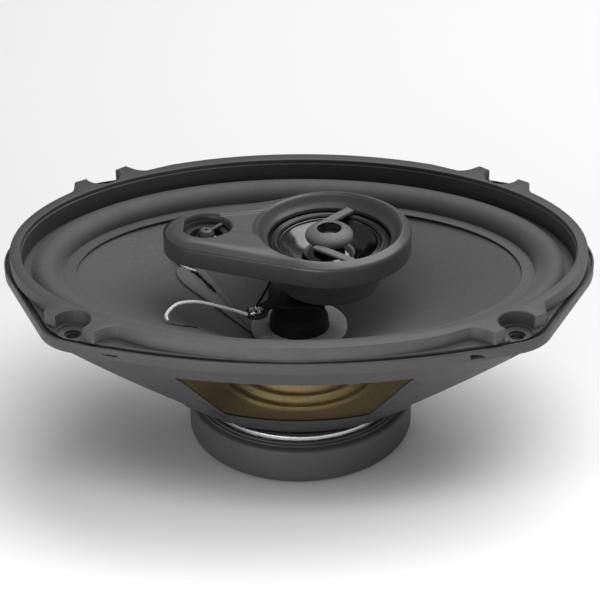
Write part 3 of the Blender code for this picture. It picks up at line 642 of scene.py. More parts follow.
def flange_outline():
    """The flange's closed outline, with points under a millimetre apart."""
    quarter = arc(HALF_LENGTH - END_RADIUS, 0.0, END_RADIUS, 0.0, END_TURN, 30)
    half_turn = (90.0 - END_TURN - EDGE_TILT) / 2.0
    towards = math.radians(END_TURN + half_turn)
    back = CORNER_RADIUS / math.cos(math.radians(half_turn))
    cx = CORNER[0] - back * math.cos(towards)
    cy = CORNER[1] - back * math.sin(towards)
    quarter += arc(cx, cy, CORNER_RADIUS, END_TURN, 90.0 - EDGE_TILT, 30)
    quarter += arc(0.0, HALF_WIDTH - FRONT_RADIUS, FRONT_RADIUS, 90.0 - EDGE_TILT, 90.0, 90)
    return all_quarters(quarter)


def polar_outline(outline):
    """A star-shaped closed outline as a function of direction."""
    points = np.array(outline)
    fine = []
    for start, end in zip(points, np.roll(points, -1, 0)):
        steps = max(1, int(np.linalg.norm(end - start) / 0.5))
        fine += [start + (end - start) * k / steps for k in range(steps)]
    fine = np.array(fine)
    angles = np.arctan2(fine[:, 1], fine[:, 0])
    order = np.argsort(angles)
    return lambda t: np.interp(t, angles[order], np.hypot(fine[:, 0], fine[:, 1])[order], period=TAU)


flange_reach = polar_outline(flange_outline())


def window_gap(points, sizes, across):
    """Distance outside a window's sides or sill, in millimetres; across picks X or Y."""
    u, z = np.abs(points[:, across]), points[:, 2]
    share = (z - WINDOW_BOTTOM) / (WINDOW_TOP - WINDOW_BOTTOM)
    side = (u - (sizes[0] + (sizes[1] - sizes[0]) * share)) * 0.89
    return np.maximum(side, (WINDOW_BOTTOM - z) * 1.15)


def press_windows(ring):
    """Sinks the wall inwards near the windows, where the press rolled their edges in."""
    z = ring[0, 2]
    share = np.clip((z - WINDOW_BOTTOM) / (WINDOW_TOP - WINDOW_BOTTOM), 0.0, 1.0)
    band = 6.4 - 3.4 * share
    depth = 2.1 * (1.0 - ease((z - WINDOW_TOP + 6.0) / 6.0))
    front = np.where(np.abs(ring[:, 0]) < 70.0, window_gap(ring, FRONT_WINDOW, 0), 99.0)
    ends = np.where(np.abs(ring[:, 0]) > 45.0, window_gap(ring, END_WINDOW, 1), 99.0)
    steep = np.abs(ring[:, 1]) * FRONT_WINDOW[1] > np.abs(ring[:, 0]) * 60.0
    gap = np.where(steep, front, ends)
    sink = depth * np.clip(1.0 - gap / band, 0.0, 1.0)
    radius = np.hypot(ring[:, 0], ring[:, 1])
    scale = (radius - sink) / radius
    return np.column_stack([ring[:, 0] * scale, ring[:, 1] * scale, ring[:, 2]])


def make_basket(paint):
    """Pressed basket with rolled window edges, skirt slots and screw holes."""
    angles = full_turn(600)
    flange = flange_reach(angles)
    lip = 0.9

    def wall(z, inset):
        share = ((z - FOOT_Z) / (MOUTH_Z - FOOT_Z)) ** BULGE
        return oval(angles, FOOT) * (1.0 - share) + (flange - MOUTH_INSET) * share - inset

    rise = np.concatenate([np.linspace(FOOT_Z + 0.6, WINDOW_BOTTOM, 12),
                           np.linspace(WINDOW_BOTTOM, WINDOW_TOP, 44)[1:],
                           np.linspace(WINDOW_TOP, MOUTH_Z, 7)[1:]])
    outer = [(wall(z, 0.0), z, 0.0) for z in rise]
    inner = [(wall(z, WALL), z, 0.0) for z in rise[::-1] if SPIDER_LEDGE + 0.5 < z < SHELF_UNDERSIDE - 1.0]
    foot = oval(angles, FOOT)
    corners = [(25.0, BASKET_FOOT, 0.0), (foot - 0.8, BASKET_FOOT, 0.4)]
    corners += outer
    corners += [
        (flange - MOUTH_INSET, FLANGE_UNDERSIDE, 0.4), (flange - lip - 0.2, FLANGE_UNDERSIDE, 0.3),
        (flange - lip - 0.2, SKIRT_BOTTOM, 0.2), (flange, SKIRT_BOTTOM, 0.4), (flange, LIP_TOP, 0.75),
        (flange - lip, LIP_TOP, 0.15), (flange - lip, FLANGE_TOP, 0.2),
        (oval(angles, SHELF_OUT), FLANGE_TOP, 0.3), (oval(angles, SHELF_OUT), SHELF_TOP, 0.3),
        (oval(angles, SHELF_IN), SHELF_TOP, 0.3), (oval(angles, SHELF_IN), SHELF_UNDERSIDE, 0.3),
        (wall(SHELF_UNDERSIDE - 0.5, WALL), SHELF_UNDERSIDE - 0.5, 0.3),
    ]
    corners += inner
    corners += [(wall(SPIDER_LEDGE, WALL), SPIDER_LEDGE, 0.0), (37.2, SPIDER_LEDGE, 0.4), (36.6, 21.2, 0.3),
                (25.0, 21.2, 0.0)]
    rings = spin(rounded(corners, 3), angles)
    rings = [press_windows(ring) if FOOT_Z < ring[0, 2] < MOUTH_Z and np.ptp(ring[:, 2]) < 0.01
             and np.min(np.hypot(ring[:, 0], ring[:, 1])) > 37.5 else ring for ring in rings]
    basket = loft("basket_shell", rings, paint, stands_for="basket", slot="black_steel")
    carve(basket, window_cutters(paint) + skirt_slots(paint) + screw_cutters("basket_hole", HOLE_R, HOLE_R, paint))


def window_cutters(paint):
    """The four windows: trapezoids with small corner rounds, cut straight through the wall."""
    cutters = []
    for label, sizes, axis, sign, near in (("front", FRONT_WINDOW, 1, -1, 36.0), ("back", FRONT_WINDOW, 1, 1, 36.0),
                                           ("left", END_WINDOW, 0, -1, 42.0), ("right", END_WINDOW, 0, 1, 42.0)):
        low, high = sizes
        outline = [(-low, WINDOW_BOTTOM), (low, WINDOW_BOTTOM), (high, WINDOW_TOP), (-high, WINDOW_TOP)]

        def place(u, v, side, axis=axis, sign=sign, near=near):
            depth = sign * (near if side == 0 else 130.0)
            return (depth, u, v) if axis == 0 else (u, depth, v)

        cutters.append(tool_prism(f"window_{label}", soften(outline, 2.2, 6), place, paint))
    return cutters


def skirt_edge(x, sign_y):
    """Where the skirt's long side stands at x."""
    angle = math.atan2(sign_y * 70.0, x)
    return sign_y * math.sqrt(float(flange_reach(angle)) ** 2 - x * x)


def skirt_slots(paint):
    """Slots pressed in the skirt's long sides, thin ones on the left and open ones on the right."""
    cutters = []
    for sign_y in (-1, 1):
        for x, low, high in ((-SLOT_X, 76.1, 76.75), (SLOT_X, 75.5, 77.4)):
            outline = [(x - SLOT_HALF, low), (x + SLOT_HALF, low), (x + SLOT_HALF, high), (x - SLOT_HALF, high)]

            def place(u, v, side, y=skirt_edge(x, sign_y), sign_y=sign_y):
                return (u, y + sign_y * (4.0 if side else -1.9), v)

            cutters.append(tool_prism(f"slot_{sign_y}_{x}", outline, place, paint))
    return cutters


def make_slot_shade_plates(black):
    """Black plates behind the skirt's open slots: painted shade for the dark inside of each slot."""
    for label, sign_y in (("front", -1), ("back", 1)):
        y = skirt_edge(SLOT_X, sign_y)
        lean = -sign_y * math.radians(EDGE_TILT - 2.0)
        outline = []
        for u, v in ((-3.8, -3.4), (3.8, -3.4), (3.8, -1.3), (-3.8, -1.3)):
            outline += turned_plan([(u, sign_y * v)], (SLOT_X, y), lean)
        if sign_y < 0:
            outline.reverse()
        # Painted shade: a black plate that darkens the inside of the open slot.
        plate(f"slot_shade_plate_right_{label}", soften(outline, 0.2), 74.4, 76.2, black, 0.1, slot="black_steel")


def screw_cutters(name, mouth, hole, material):
    """Tools for the four corner screws: a through hole under a wider mouth."""
    cutters = []
    for number, (sx, sy) in enumerate(CORNER_SIGNS):
        cutters.append(turned(f"{name}_{number}", [
            (mouth, 90.0, 0.0), (mouth, PLATE_TOP - 0.9, 0.0), (hole, PLATE_TOP - 1.05, 0.0), (hole, 58.0, 0.0),
        ], material, sx * HOLE_X, sy * HOLE_Y, 48, closed=False, body=None))
    return cutters


def gasket_contour():
    """The raised wall's outer edge, with the two lugs beside each screw recess."""
    def along_oval(start, end, steps):
        turn = np.radians(np.linspace(start, end, steps))
        return [(GASKET_OUT[0] * math.cos(t), GASKET_OUT[1] * math.sin(t)) for t in turn]

    quarter = along_oval(0.0, 34.0, 46)
    quarter += [(95.5, 47.2), (95.9, 53.8), (91.4, 57.0)]
    quarter += [(85.5, 61.3), (79.6, 65.6), (75.6, 69.2)]
    quarter += arc(66.8, 74.6, 9.6, -52.0, -92.0, 12)
    quarter += along_oval(61.0, 90.0, 40)
    return soften(all_quarters(quarter), 0.7)


def make_gasket(material):
    """Trim gasket: plate on the flange, raised wall with lugs, a shallow step inside its mouth."""
    contour = np.array(gasket_contour())
    polar = np.arctan2(contour[:, 1], contour[:, 0]) % TAU
    polar = np.maximum.accumulate(polar)
    polar += np.arange(len(polar)) * 1e-6
    inner, outer = oval(polar, GASKET_IN), oval(polar, (GASKET_IN[0] + 1.6, GASKET_IN[1] + 1.6))
    rim = flange_reach(polar) - (1.25 + 1.15 * np.minimum(1.0, np.abs(np.cos(polar)) * 2.0))

    def level(points, z):
        return np.column_stack([points, np.full(len(points), z)])

    below = spin(rounded([(outer, GASKET_SKIRT, 0.3), (outer, PLATE_BOTTOM, 0.0), (rim, PLATE_BOTTOM, 0.2),
                          (rim, PLATE_TOP, 0.45), (rim - 1.0, PLATE_TOP, 0.0)], 3, closed=False), polar)
    wall = [level(contour, PLATE_TOP), level(contour, GASKET_TOP - 0.45),
            level(inset_outline(contour, 0.13), GASKET_TOP - 0.13), level(inset_outline(contour, 0.45), GASKET_TOP)]
    step = GASKET_TOP - 1.7
    mouth = spin(rounded([(inner + 2.0, GASKET_TOP, 0.0), (inner + 0.45, GASKET_TOP, 0.35), (inner + 0.45, step, 0.0),
                          (inner, step - 0.25, 0.1), (inner, GASKET_SKIRT, 0.2), (inner + 0.8, GASKET_SKIRT, 0.0)],
                         3, closed=False), polar)
    gasket = loft("gasket_trim", below + wall + mouth, material, stands_for="gasket_ring", slot="gasket_plastic")
    scoop = [(RECESS_R, PLATE_TOP - 0.12, 0.0), (RECESS_R, GASKET_TOP - 0.3, 0.0),
             (RECESS_R + 0.5, GASKET_TOP + 0.2, 0.0), (RECESS_R + 0.5, 91.0, 0.0)]
    scoops = [turned(f"scoop_{n}", scoop, material, sx * HOLE_X, sy * HOLE_Y, 96, closed=False, body=None)
              for n, (sx, sy) in enumerate(CORNER_SIGNS)]
    carve(gasket, scoops + screw_cutters("gasket_hole", DIMPLE_R, GASKET_HOLE_R, material))


# ---------------------------------------------------------------- motor

def make_motor(rubber, steel, ceramic):
    """Rubber boot with its stepped lip, and the bright top plate above it."""
    turned("boot_shell", [
        (41.4, 17.4, 0.1), (42.3, 17.3, 0.15), (42.5, 16.85, 0.1), (43.4, 16.7, 0.15), (43.7, 16.2, 0.15),
        (45.2, 15.7, 0.4), (46.1, 14.9, 0.6), (46.1, 2.2, 1.6), (44.2, 0.0, 1.2), (5.2, 0.0, 0.3),
        (5.2, 1.0, 0.0), (44.8, 1.0, 0.0), (44.8, 15.3, 0.0), (41.4, 15.3, 0.0),
    ], rubber, count=220, stands_for="magnet_boot", slot="moulded_rubber")
    turned("plate_disc", [
        (16.3, 19.5, 0.2), (41.0, 19.5, 0.35), (41.0, 15.3, 0.35), (16.3, 15.3, 0.2),
    ], steel, count=220, stands_for="top_plate", slot="zinc_steel")
    for node, material in (("yoke", steel), ("ferrite_magnet", ceramic), ("centre_screw", steel)):
        dress(node, material)


def dress(node, material):
    """Gives a carried-over CAD node its finish, with softened edges."""
    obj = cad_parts[node]
    obj.data.materials.clear()
    obj.data.materials.append(material)
    bevel = obj.modifiers.new("soft_edges", "BEVEL")
    bevel.width = 0.15 * MM
    bevel.segments = 2
    bevel.limit_method = "ANGLE"
    bevel.angle_limit = math.radians(40.0)


# ---------------------------------------------------------------- moving system

def cone_height(share):
    """Height of the cone's top face at a share of the way from neck to rim."""
    k = np.minimum(share / CONE_FLARE_END, 1.0)
    return CONE_NECK_Z + (CONE_RIM_Z - CONE_NECK_Z) * k + CONE_BOW * np.sin(math.pi * k)


def cone_share(x, y):
    """Where a point in plan lies between the cone's neck and rim."""
    low, high = np.zeros_like(x), np.ones_like(x)
    for _ in range(30):
        mid = (low + high) / 2.0
        a = CONE_NECK_R + (CONE_RIM_A - CONE_NECK_R) * mid
        b = CONE_NECK_R + (CONE_RIM_B - CONE_NECK_R) * mid
        outside = (x / a) ** 2 + (y / b) ** 2 > 1.0
        low, high = np.where(outside, mid, low), np.where(outside, high, mid)
    return (low + high) / 2.0


def on_cone(points, lift):
    """Puts plan points on the cone's top face, raised by lift."""
    points = np.asarray(points, float)
    z = cone_height(cone_share(points[:, 0], points[:, 1]))
    return np.column_stack([points[:, :2], z + lift])


def make_cone(paper):
    """Flared paper cone from its neck to its rim."""
    angles = full_turn(480)
    shares = np.concatenate([np.linspace(0.0, 0.93, 44), np.linspace(0.93, 1.0, 5)[1:]])
    thickness = 1.0

    def ring(share, drop):
        size = (CONE_NECK_R + (CONE_RIM_A - CONE_NECK_R) * share, CONE_NECK_R + (CONE_RIM_B - CONE_NECK_R) * share)
        return level_ring(angles, oval(angles, size), float(cone_height(share)) - drop)

    top = [ring(share, 0.0) for share in shares]
    bottom = [ring(share, thickness) for share in shares[::-1]]
    loft("cone_paper", top + bottom, paper, body="cone_assembly", stands_for="cone", slot="coated_paper")


def make_felt(material):
    """Felt ring that closes the gap between cone neck and post."""
    ring = turned("felt_ring", [
        (12.3, 45.2, 0.3), (12.3, 47.7, 0.5), (18.9, 48.4, 0.8), (19.6, 47.6, 0.4), (19.6, 46.2, 0.3),
    ], material, count=260, steps=6, body="cone_assembly", stands_for="felt_dust_ring", slot="grey_felt",
        sharp=60.0)
    for vertex in ring.data.vertices:
        fuzz = noise.noise(vertex.co / MM * 1.6) * 0.10 + noise.noise(vertex.co / MM * 0.5) * 0.12
        vertex.co.z += min(0.0, fuzz - 0.05) * MM


def make_surround(rubber):
    """Half-roll surround; its inner land meets the cone and its outer land lies on the shelf."""
    angles = full_turn(480)
    skin, steps = 0.5, 26
    inner = ROLL_IN_A - INNER_LAND_A
    width = ROLL_OUT_A - ROLL_IN_A
    crest = ROLL_TOP - (INNER_LAND_Z + OUTER_LAND_Z) / 2.0

    def upper(offset):
        rows = [(0.0, INNER_LAND_Z, 0.0), (inner * 0.5, INNER_LAND_Z, 0.0), (inner - 0.7, INNER_LAND_Z + 0.05, 0.0)]
        for i in range(steps + 1):
            t = math.pi * i / steps
            across = 0.5 - 0.5 * math.cos(t)
            base = INNER_LAND_Z + (OUTER_LAND_Z - INNER_LAND_Z) * across
            rows.append((inner + width * across, base + crest * math.sin(t) ** 0.9, across))
        rows += [(inner + width + 0.7, OUTER_LAND_Z, 1.0), (OUTER_LAND_A - INNER_LAND_A, OUTER_LAND_Z, 1.0)]
        return [(out, z + offset, across) for out, z, across in rows]

    rows = upper(skin) + upper(0.0)[::-1]
    rings = []
    for out, z, _ in rows:
        rings.append(level_ring(angles, oval(angles, (INNER_LAND_A + out, INNER_LAND_B + out * ROLL_SQUEEZE)), z))
    roll = loft("surround_roll", rings, rubber, body=None, stands_for="surround", slot="surround_rubber")
    weights = np.repeat([1.0 - float(ease(across)) for _, _, across in rows], len(angles))
    follow(roll, weights)


def make_spider(cloth):
    """Corrugated cloth spider."""
    angles = full_turn(288)
    centre_z, land_z, skin = 31.0, 27.1, 0.5
    start, end, waves = 17.6, 35.0, 3.0
    land = (56.3, 42.2)
    radii = np.concatenate([[15.45, 16.4], np.linspace(start, end, 66), [36.0]])

    def height(r):
        share = np.clip((r - start) / (end - start), 0.0, 1.0)
        fade = ease((r - start) / 2.0) * ease((end - r) / 2.0)
        return centre_z + (land_z - centre_z) * ease(share) - 1.15 * np.sin(share * waves * TAU) * fade

    line = [(r, r, float(height(r))) for r in radii] + [(40.0, 38.0, land_z), (48.0, 40.0, land_z), (*land, land_z)]
    rows = [(a, b, z + skin) for a, b, z in line] + line[::-1]
    rings = [level_ring(angles, oval(angles, (a, b)), z) for a, b, z in rows]
    spider = loft("spider_cloth", rings, cloth, body=None, stands_for="spider", slot="spider_cloth", sharp=70.0)
    weights = np.repeat([1.0 - float(ease((b - start) / (end - start))) for _, b, _ in rows], len(angles))
    follow(spider, weights)


def make_coil(film, copper):
    """Carried-over former and winding."""
    dress("voice_coil_former", film)
    dress("voice_coil_winding", copper)


# ---------------------------------------------------------------- centre post

def make_post(plastic, board, solder):
    """Post, terminal strip with its eyelets, and the bracket under the pod."""
    turned("post_column", [
        (PIN_BORE_R, 60.6, 0.2), (10.6, 60.6, 0.3), (10.6, 54.5, 0.6), (12.0, 51.5, 0.6), (12.0, 20.3, 0.3),
        (PIN_BORE_R, 20.3, 0.2),
    ], plastic, count=96, stands_for="centre_post", slot="black_plastic")
    outline = [(10.6, -10.8), (10.6, 10.8), (-6.5, 10.8), (-7.7, 16.6)]
    outline += arc(*RIVETS["back"], 4.4, 0.0, 180.0, 24)
    outline += [(-12.5, 10.8), (-12.5, -5.0)]
    outline += arc(-16.6, -14.7, 4.6, 95.0, 345.0, 30)
    outline += [(-11.8, -12.2), (-11.0, -10.8)]
    strip = plate("strip_board", outline, 60.9, 62.2, board, 0.15, stands_for="terminal_strip", slot="fibre_board")
    bores = [bore("strip_bore", PIN_BORE_R, board)]
    for label, (x, y) in RIVETS.items():
        bores.append(bore(f"strip_hole_{label}", 1.7, board, x, y))
        make_eyelet(label, x, y, solder)
    carve(strip, bores)
    bracket = soften([(-4.0, -7.5), (14.0, -8.5), (22.0, -5.5), (22.0, 5.5), (14.0, 8.5), (-4.0, 7.5)], 1.2)
    rest = plate("bracket_block", bracket, 62.5, 67.2, plastic, 0.4, stands_for="pod_bracket", slot="black_plastic")
    carve(rest, [bore("bracket_hole", PIN_BORE_R, plastic)])


def make_eyelet(label, x, y, solder):
    """Eyelet with four curled petals and a drop of solder on the lead's end."""
    turned(f"eyelet_{label}", [
        (0.7, 60.2, 0.1), (0.7, 62.9, 0.3), (1.5, 63.3, 0.3), (2.9, 62.85, 0.15), (2.9, 62.5, 0.1), (1.4, 62.5, 0.0),
        (1.4, 60.6, 0.0), (2.6, 60.6, 0.1), (2.6, 60.2, 0.1),
    ], solder, x, y, 48, stands_for=f"eyelet_rivet_{label}", slot="tinned_brass")
    points, faces = [], []
    for petal in range(5):
        t = petal * TAU / 5.0 + 0.4
        route = np.array([(x + r * math.cos(t), y + r * math.sin(t), z)
                          for r, z in ((0.9, 63.1), (1.5, 63.65), (2.2, 63.5), (2.75, 63.05))])
        made, sides = tube(smooth_route(route, 0.25), 0.42, 8, sum(len(p) for p in points))
        points.append(made)
        faces += sides
    add_mesh(f"eyelet_petals_{label}", np.concatenate(points), faces, solder, slot="tinned_brass", sharp=70.0)
    side = -1.0 if y < 0.0 else 1.0
    lump = [(x + 0.3, y + 1.6 * side, 63.0), (x - 0.4, y + 2.6 * side, 63.3), (x - 1.0, y + 3.4 * side, 63.1),
            (x - 2.2, y + 3.6 * side, 63.0)]
    bead(f"solder_drop_{label}", lump, (0.6, 1.25, 1.2, 0.7), solder, slot="tinned_brass")


# ---------------------------------------------------------------- pod

def pod_directions():
    """Directions round the pod's ring centre, closer together towards its narrow end."""
    t = np.linspace(0.0, math.pi, 190)
    half = t + 0.42 * np.sin(t) * (0.5 - 0.5 * np.cos(t)) * 1.6
    half = math.pi * half / half[-1]
    return np.concatenate([half, TAU - half[-2:0:-1]])


POD_DIRECTIONS = pod_directions()


def teardrop(inset):
    """Distance from the ring centre to the pod's outline, moved inwards by inset."""
    big, small = POD_R - inset, POD_TIP_R - inset
    span = POD_X - POD_TIP_X
    tangent = np.arccos((big - small) / span)
    from_tip = math.pi - np.abs(np.arctan2(np.sin(POD_DIRECTIONS), np.cos(POD_DIRECTIONS)))
    straight = big / np.cos(tangent - np.minimum(from_tip, tangent))
    touch = np.arctan2(small * np.sin(tangent), span + small * np.cos(tangent))
    bulge = np.maximum(small ** 2 - (span * np.sin(from_tip)) ** 2, 0.0)
    tip = span * np.cos(from_tip) + np.sqrt(bulge)
    return np.where(from_tip >= tangent, big, np.where(from_tip >= touch, straight, tip))


def pod_panel(x, y):
    """1 inside the sunken panel between the tweeter's recess and the midrange mouth, 0 outside."""
    far = np.interp(x, (-34.0, -25.0, -19.7, -14.5, -11.5, -9.5), (9.6, 10.9, 12.4, 13.6, 17.0, 23.0))
    near = np.interp(x, (-33.0, -29.0, -24.0, -19.0, -15.0, -11.0, -7.0),
                     (-8.6, -6.6, -4.8, -6.0, -9.0, -14.6, -23.5))
    return ease((far - y) / 0.7) * ease((y - near) / 1.5) * ease((x + 34.0) / 2.0) * ease((-6.0 - x) / 3.0)


def make_pod(plastic):
    """Teardrop housing: rounded shoulder, sunken panel, funnel mouth and the tweeter's recess."""
    mouth_r, mouth_z = 28.4, POD_TOP - 0.7
    outer = rounded([
        (teardrop(1.8), POD_BOTTOM, 0.2), (teardrop(0.0), POD_BOTTOM, 0.6), (teardrop(0.0), POD_TOP - 1.6, 2.4),
        (np.maximum(teardrop(2.8), 29.9), POD_TOP - 0.25, 1.2), (np.maximum(teardrop(5.0), 29.5), POD_TOP, 0.0),
    ], 7, closed=False)
    rim = outer[-1][:, 0]
    web = []
    for share in np.linspace(0.0, 1.0, 64)[1:]:
        r = rim + (mouth_r + 0.9 - rim) * share
        web.append(np.column_stack([r, np.full(len(r), POD_TOP)]))
    funnel = rounded([
        (mouth_r + 0.9, POD_TOP, 0.0), (mouth_r, mouth_z, 1.4), (26.6, OPENING_Z + 1.6, 1.6),
        (OPENING_R, OPENING_Z, 0.3), (OPENING_R, OPENING_Z - 1.4, 0.2), (27.0, POD_TOP - 3.4, 0.0),
    ], 5, closed=False)[1:]
    funnel = [np.broadcast_to(row, (len(POD_DIRECTIONS), 2)) for row in funnel]
    under = rounded([(teardrop(2.4), POD_TOP - 3.2, 0.3), (teardrop(1.8), POD_TOP - 3.6, 0.0)], 2, closed=False)
    rings = spin(outer + web + funnel + under, POD_DIRECTIONS, POD_X)
    for ring in rings[len(outer) - 14:len(outer) + len(web)]:
        from_mouth = np.hypot(ring[:, 0] - POD_X, ring[:, 1])
        from_edge = teardrop(0.0) - from_mouth
        crown = 1.5 * np.clip(1.0 - from_edge / 9.0, 0.0, 1.0) ** 1.6 * ease((4.0 - ring[:, 0]) / 16.0)
        panel = 0.6 * pod_panel(ring[:, 0], ring[:, 1]) * ease((from_mouth - mouth_r - 0.9) / 1.3)
        ring[:, 2] -= crown + panel
    housing = loft("pod_shell", rings, plastic, stands_for="pod_housing", slot="black_plastic")
    carve(housing, [recess_tool(plastic)])
    turned("tweeter_cup", [
        (10.4, 90.6, 0.1), (9.62, 90.6, 0.1), (9.5, 89.4, 0.1), (9.5, 86.6, 0.0), (10.4, 86.6, 0.0),
    ], plastic, TWEETER_X, 0.0, 96, slot="black_plastic")
    base = rounded([(teardrop(2.2), POD_BOTTOM + 0.2, 0.2), (teardrop(2.2), POD_BOTTOM + 1.4, 0.2),
                    (22.6, POD_BOTTOM + 1.4, 0.2), (22.6, POD_BOTTOM + 0.2, 0.2)], 3)
    loft("pod_floor", spin(base, POD_DIRECTIONS, POD_X), plastic, stands_for="pod_base", slot="black_plastic")


def recess_tool(plastic):
    """Cutter for the tweeter's recess: a funnel with one flat side and one scooped side."""
    turn = full_turn(120)
    rings = []
    for z, radius, scoop in ((84.0, 9.6, 0.0), (88.5, 9.6, 0.0), (90.2, 9.6, 0.0), (91.6, 9.65, 0.3),
                             (92.5, 9.8, 0.9), (POD_TOP, 10.2, 1.6), (POD_TOP + 3.0, 11.6, 3.0)):
        lobe = scoop * np.clip(np.cos(turn - 0.5), 0.0, 1.0) ** 1.5
        x = np.maximum(TWEETER_X + (radius + lobe) * np.cos(turn), TWEETER_X - 8.9)
        y = 0.2 + (radius + lobe * 0.5) * np.sin(turn)
        rings.append(np.column_stack([x, y, np.full(len(turn), z)]))
    return loft("recess_tool", rings, plastic, closed=False, body=None)


def make_midrange(plastic, ring_black, film, dome_finish, ceramic):
    """Midrange driver: can with its stepped waist, rim, surround, polished cone and dark dome."""
    x = POD_X
    turned("midrange_cup", [
        (10.9, 77.0, 0.2), (20.1, 77.0, 0.5), (20.1, 73.6, 0.2), (20.4, 73.3, 0.2), (20.4, 68.5, 0.8),
        (19.2, 67.5, 0.6), (2.2, 67.5, 0.2), (2.2, 69.6, 0.1), (16.0, 69.6, 0.2), (16.0, 74.6, 0.2), (10.9, 74.6, 0.2),
    ], plastic, x, count=144, stands_for="midrange_can", slot="black_plastic")
    turned("midrange_rim", [
        (12.4, 77.3, 0.1), (20.4, 77.3, 0.3), (20.4, 82.6, 0.5), (21.8, 84.4, 0.4), (24.2, 85.4, 0.2),
        (24.2, 86.2, 0.15), (23.4, 86.2, 0.1), (19.6, 84.4, 0.3), (18.4, 78.4, 0.4), (12.4, 78.4, 0.1),
    ], ring_black, x, count=144, stands_for="midrange_frame", slot="black_plastic")
    dress("midrange_magnet", ceramic)
    # Painted shade: the copper coil gets the near-black ring finish so the gap round the dome reads dark.
    dress("midrange_coil", ring_black)
    turned("midrange_film", [
        (10.5, 80.3, 0.1), (15.0, 82.2, 1.5), (19.2, 85.5, 0.5), (19.7, 86.25, 0.3), (20.2, 86.2, 0.1),
        (20.2, 85.8, 0.1), (19.4, 84.9, 0.4), (15.0, 81.6, 1.5), (10.5, 79.8, 0.1),
    ], film, x, count=192, steps=8, body="midrange_assembly", stands_for="midrange_cone", slot="metallised_film")
    turned("midrange_cap", [
        (10.35, 81.0, 0.1), (10.3, 81.6, 0.4), (9.0, 82.6, 0.8), (6.6, 83.7, 1.2), (3.4, 84.0, 0.6), (1.2, 84.0, 0.1),
        (1.2, 83.7, 0.1), (3.4, 83.6, 0.6), (6.5, 83.2, 1.2), (8.8, 82.0, 0.8), (9.6, 81.0, 0.1),
    ], dome_finish, x, count=128, steps=8, body="midrange_assembly", stands_for="midrange_dome",
        slot="metallised_film")
    rows = [(20.5, 86.5), (20.8, 86.9), (21.2, 87.35), (21.7, 87.5), (22.2, 87.3), (22.6, 86.85), (23.1, 87.2),
            (23.7, 86.8), (24.2, 86.5), (23.0, 86.5), (22.6, 86.75), (21.8, 87.1), (21.2, 86.9), (20.6, 86.25)]
    angles = full_turn(144)
    ring = loft("midrange_roll", spin([np.array([row]) for row in rows], angles, x), ring_black, body=None,
                stands_for="midrange_surround", slot="surround_rubber")
    weights = np.repeat([1.0 - float(ease((r - 20.6) / 3.0)) for r, _ in rows], len(angles))
    follow(ring, weights)


def make_ball(plastic, film):
    """Squashed ball with an open crown, on two flat arms, round its own small bright dome."""
    thickness = 1.1
    tilts = np.radians(np.linspace(-58.0, 55.0, 33))

    def shell(radius, tilt):
        return (radius * math.cos(tilt), BALL_Z + radius * BALL_FLAT * math.sin(tilt))

    rows = [shell(BALL_R, t) for t in tilts] + [shell(BALL_R - thickness, t) for t in tilts[::-1]]
    rings = spin([np.array([row]) for row in rows], full_turn(128), POD_X)
    points, count = np.concatenate(rings), 128
    faces = band_faces(len(rings), count, True)
    add_mesh("ball_shell", points, faces, plastic, stands_for="tweeter_ball", slot="black_plastic", sharp=50.0)
    for label, start, end, top in BALL_ARMS:
        turn = math.atan2(end[1] - start[1], end[0] - start[0])
        length = math.dist(start, end)
        arm = [(0.0, -BALL_ARM_HALF), (length, -BALL_ARM_HALF), (length, BALL_ARM_HALF), (0.0, BALL_ARM_HALF)]
        outline = turned_plan(soften(arm, 0.3), start, turn)
        plate(f"ball_arm_{label}", outline, 88.0, top, plastic, 0.3, slot="black_plastic")
    turned("super_dome", [(1.2, 90.0, 0.2), (3.4, 89.85, 1.0), (5.6, 89.2, 0.8), (6.8, 88.2, 0.4), (6.8, 87.7, 0.1)],
           film, POD_X, count=96, closed=False, steps=6, stands_for="super_tweeter", slot="metallised_film")


def make_tweeter(plastic, ring_black, film):
    """Small tweeter in the pod's narrow end, with its boss held over the dome by one arm."""
    x = TWEETER_X
    turned("tweeter_ring", [
        (6.6, 87.3, 0.1), (6.6, 89.0, 0.3), (7.2, 89.3, 0.2), (9.2, 89.3, 0.2), (9.2, 86.7, 0.1), (3.0, 86.7, 0.1),
        (3.0, 87.3, 0.1),
    ], ring_black, x, count=96, stands_for="tweeter_capsule", slot="black_plastic")
    turned("tweeter_film", [
        (6.1, 87.8, 0.1), (4.7, 88.8, 0.8), (2.2, 89.2, 0.4), (2.2, 88.8, 0.1), (4.4, 88.4, 0.8), (5.7, 87.8, 0.1),
    ], film, x, count=96, steps=6, body="tweeter_diaphragm", stands_for="tweeter_dome", slot="metallised_film")
    turned("boss_cap", [
        (0.6, 89.7, 0.0), (0.6, 91.7, 0.15), (2.3, 91.7, 0.5), (2.8, 91.0, 0.4), (3.4, 90.0, 0.3), (3.4, 89.7, 0.1),
    ], plastic, x, count=64, stands_for="tweeter_boss", slot="black_plastic")
    arm = turned_plan([(2.2, -0.75), (9.2, -0.75), (9.2, 0.75), (2.2, 0.75)], (x, 0.0), math.radians(50.0))
    plate("boss_arm", arm, 89.7, 90.9, plastic, 0.2, slot="black_plastic")
    dress("crossover_capacitor", plastic)


# ---------------------------------------------------------------- leads, terminals and glue

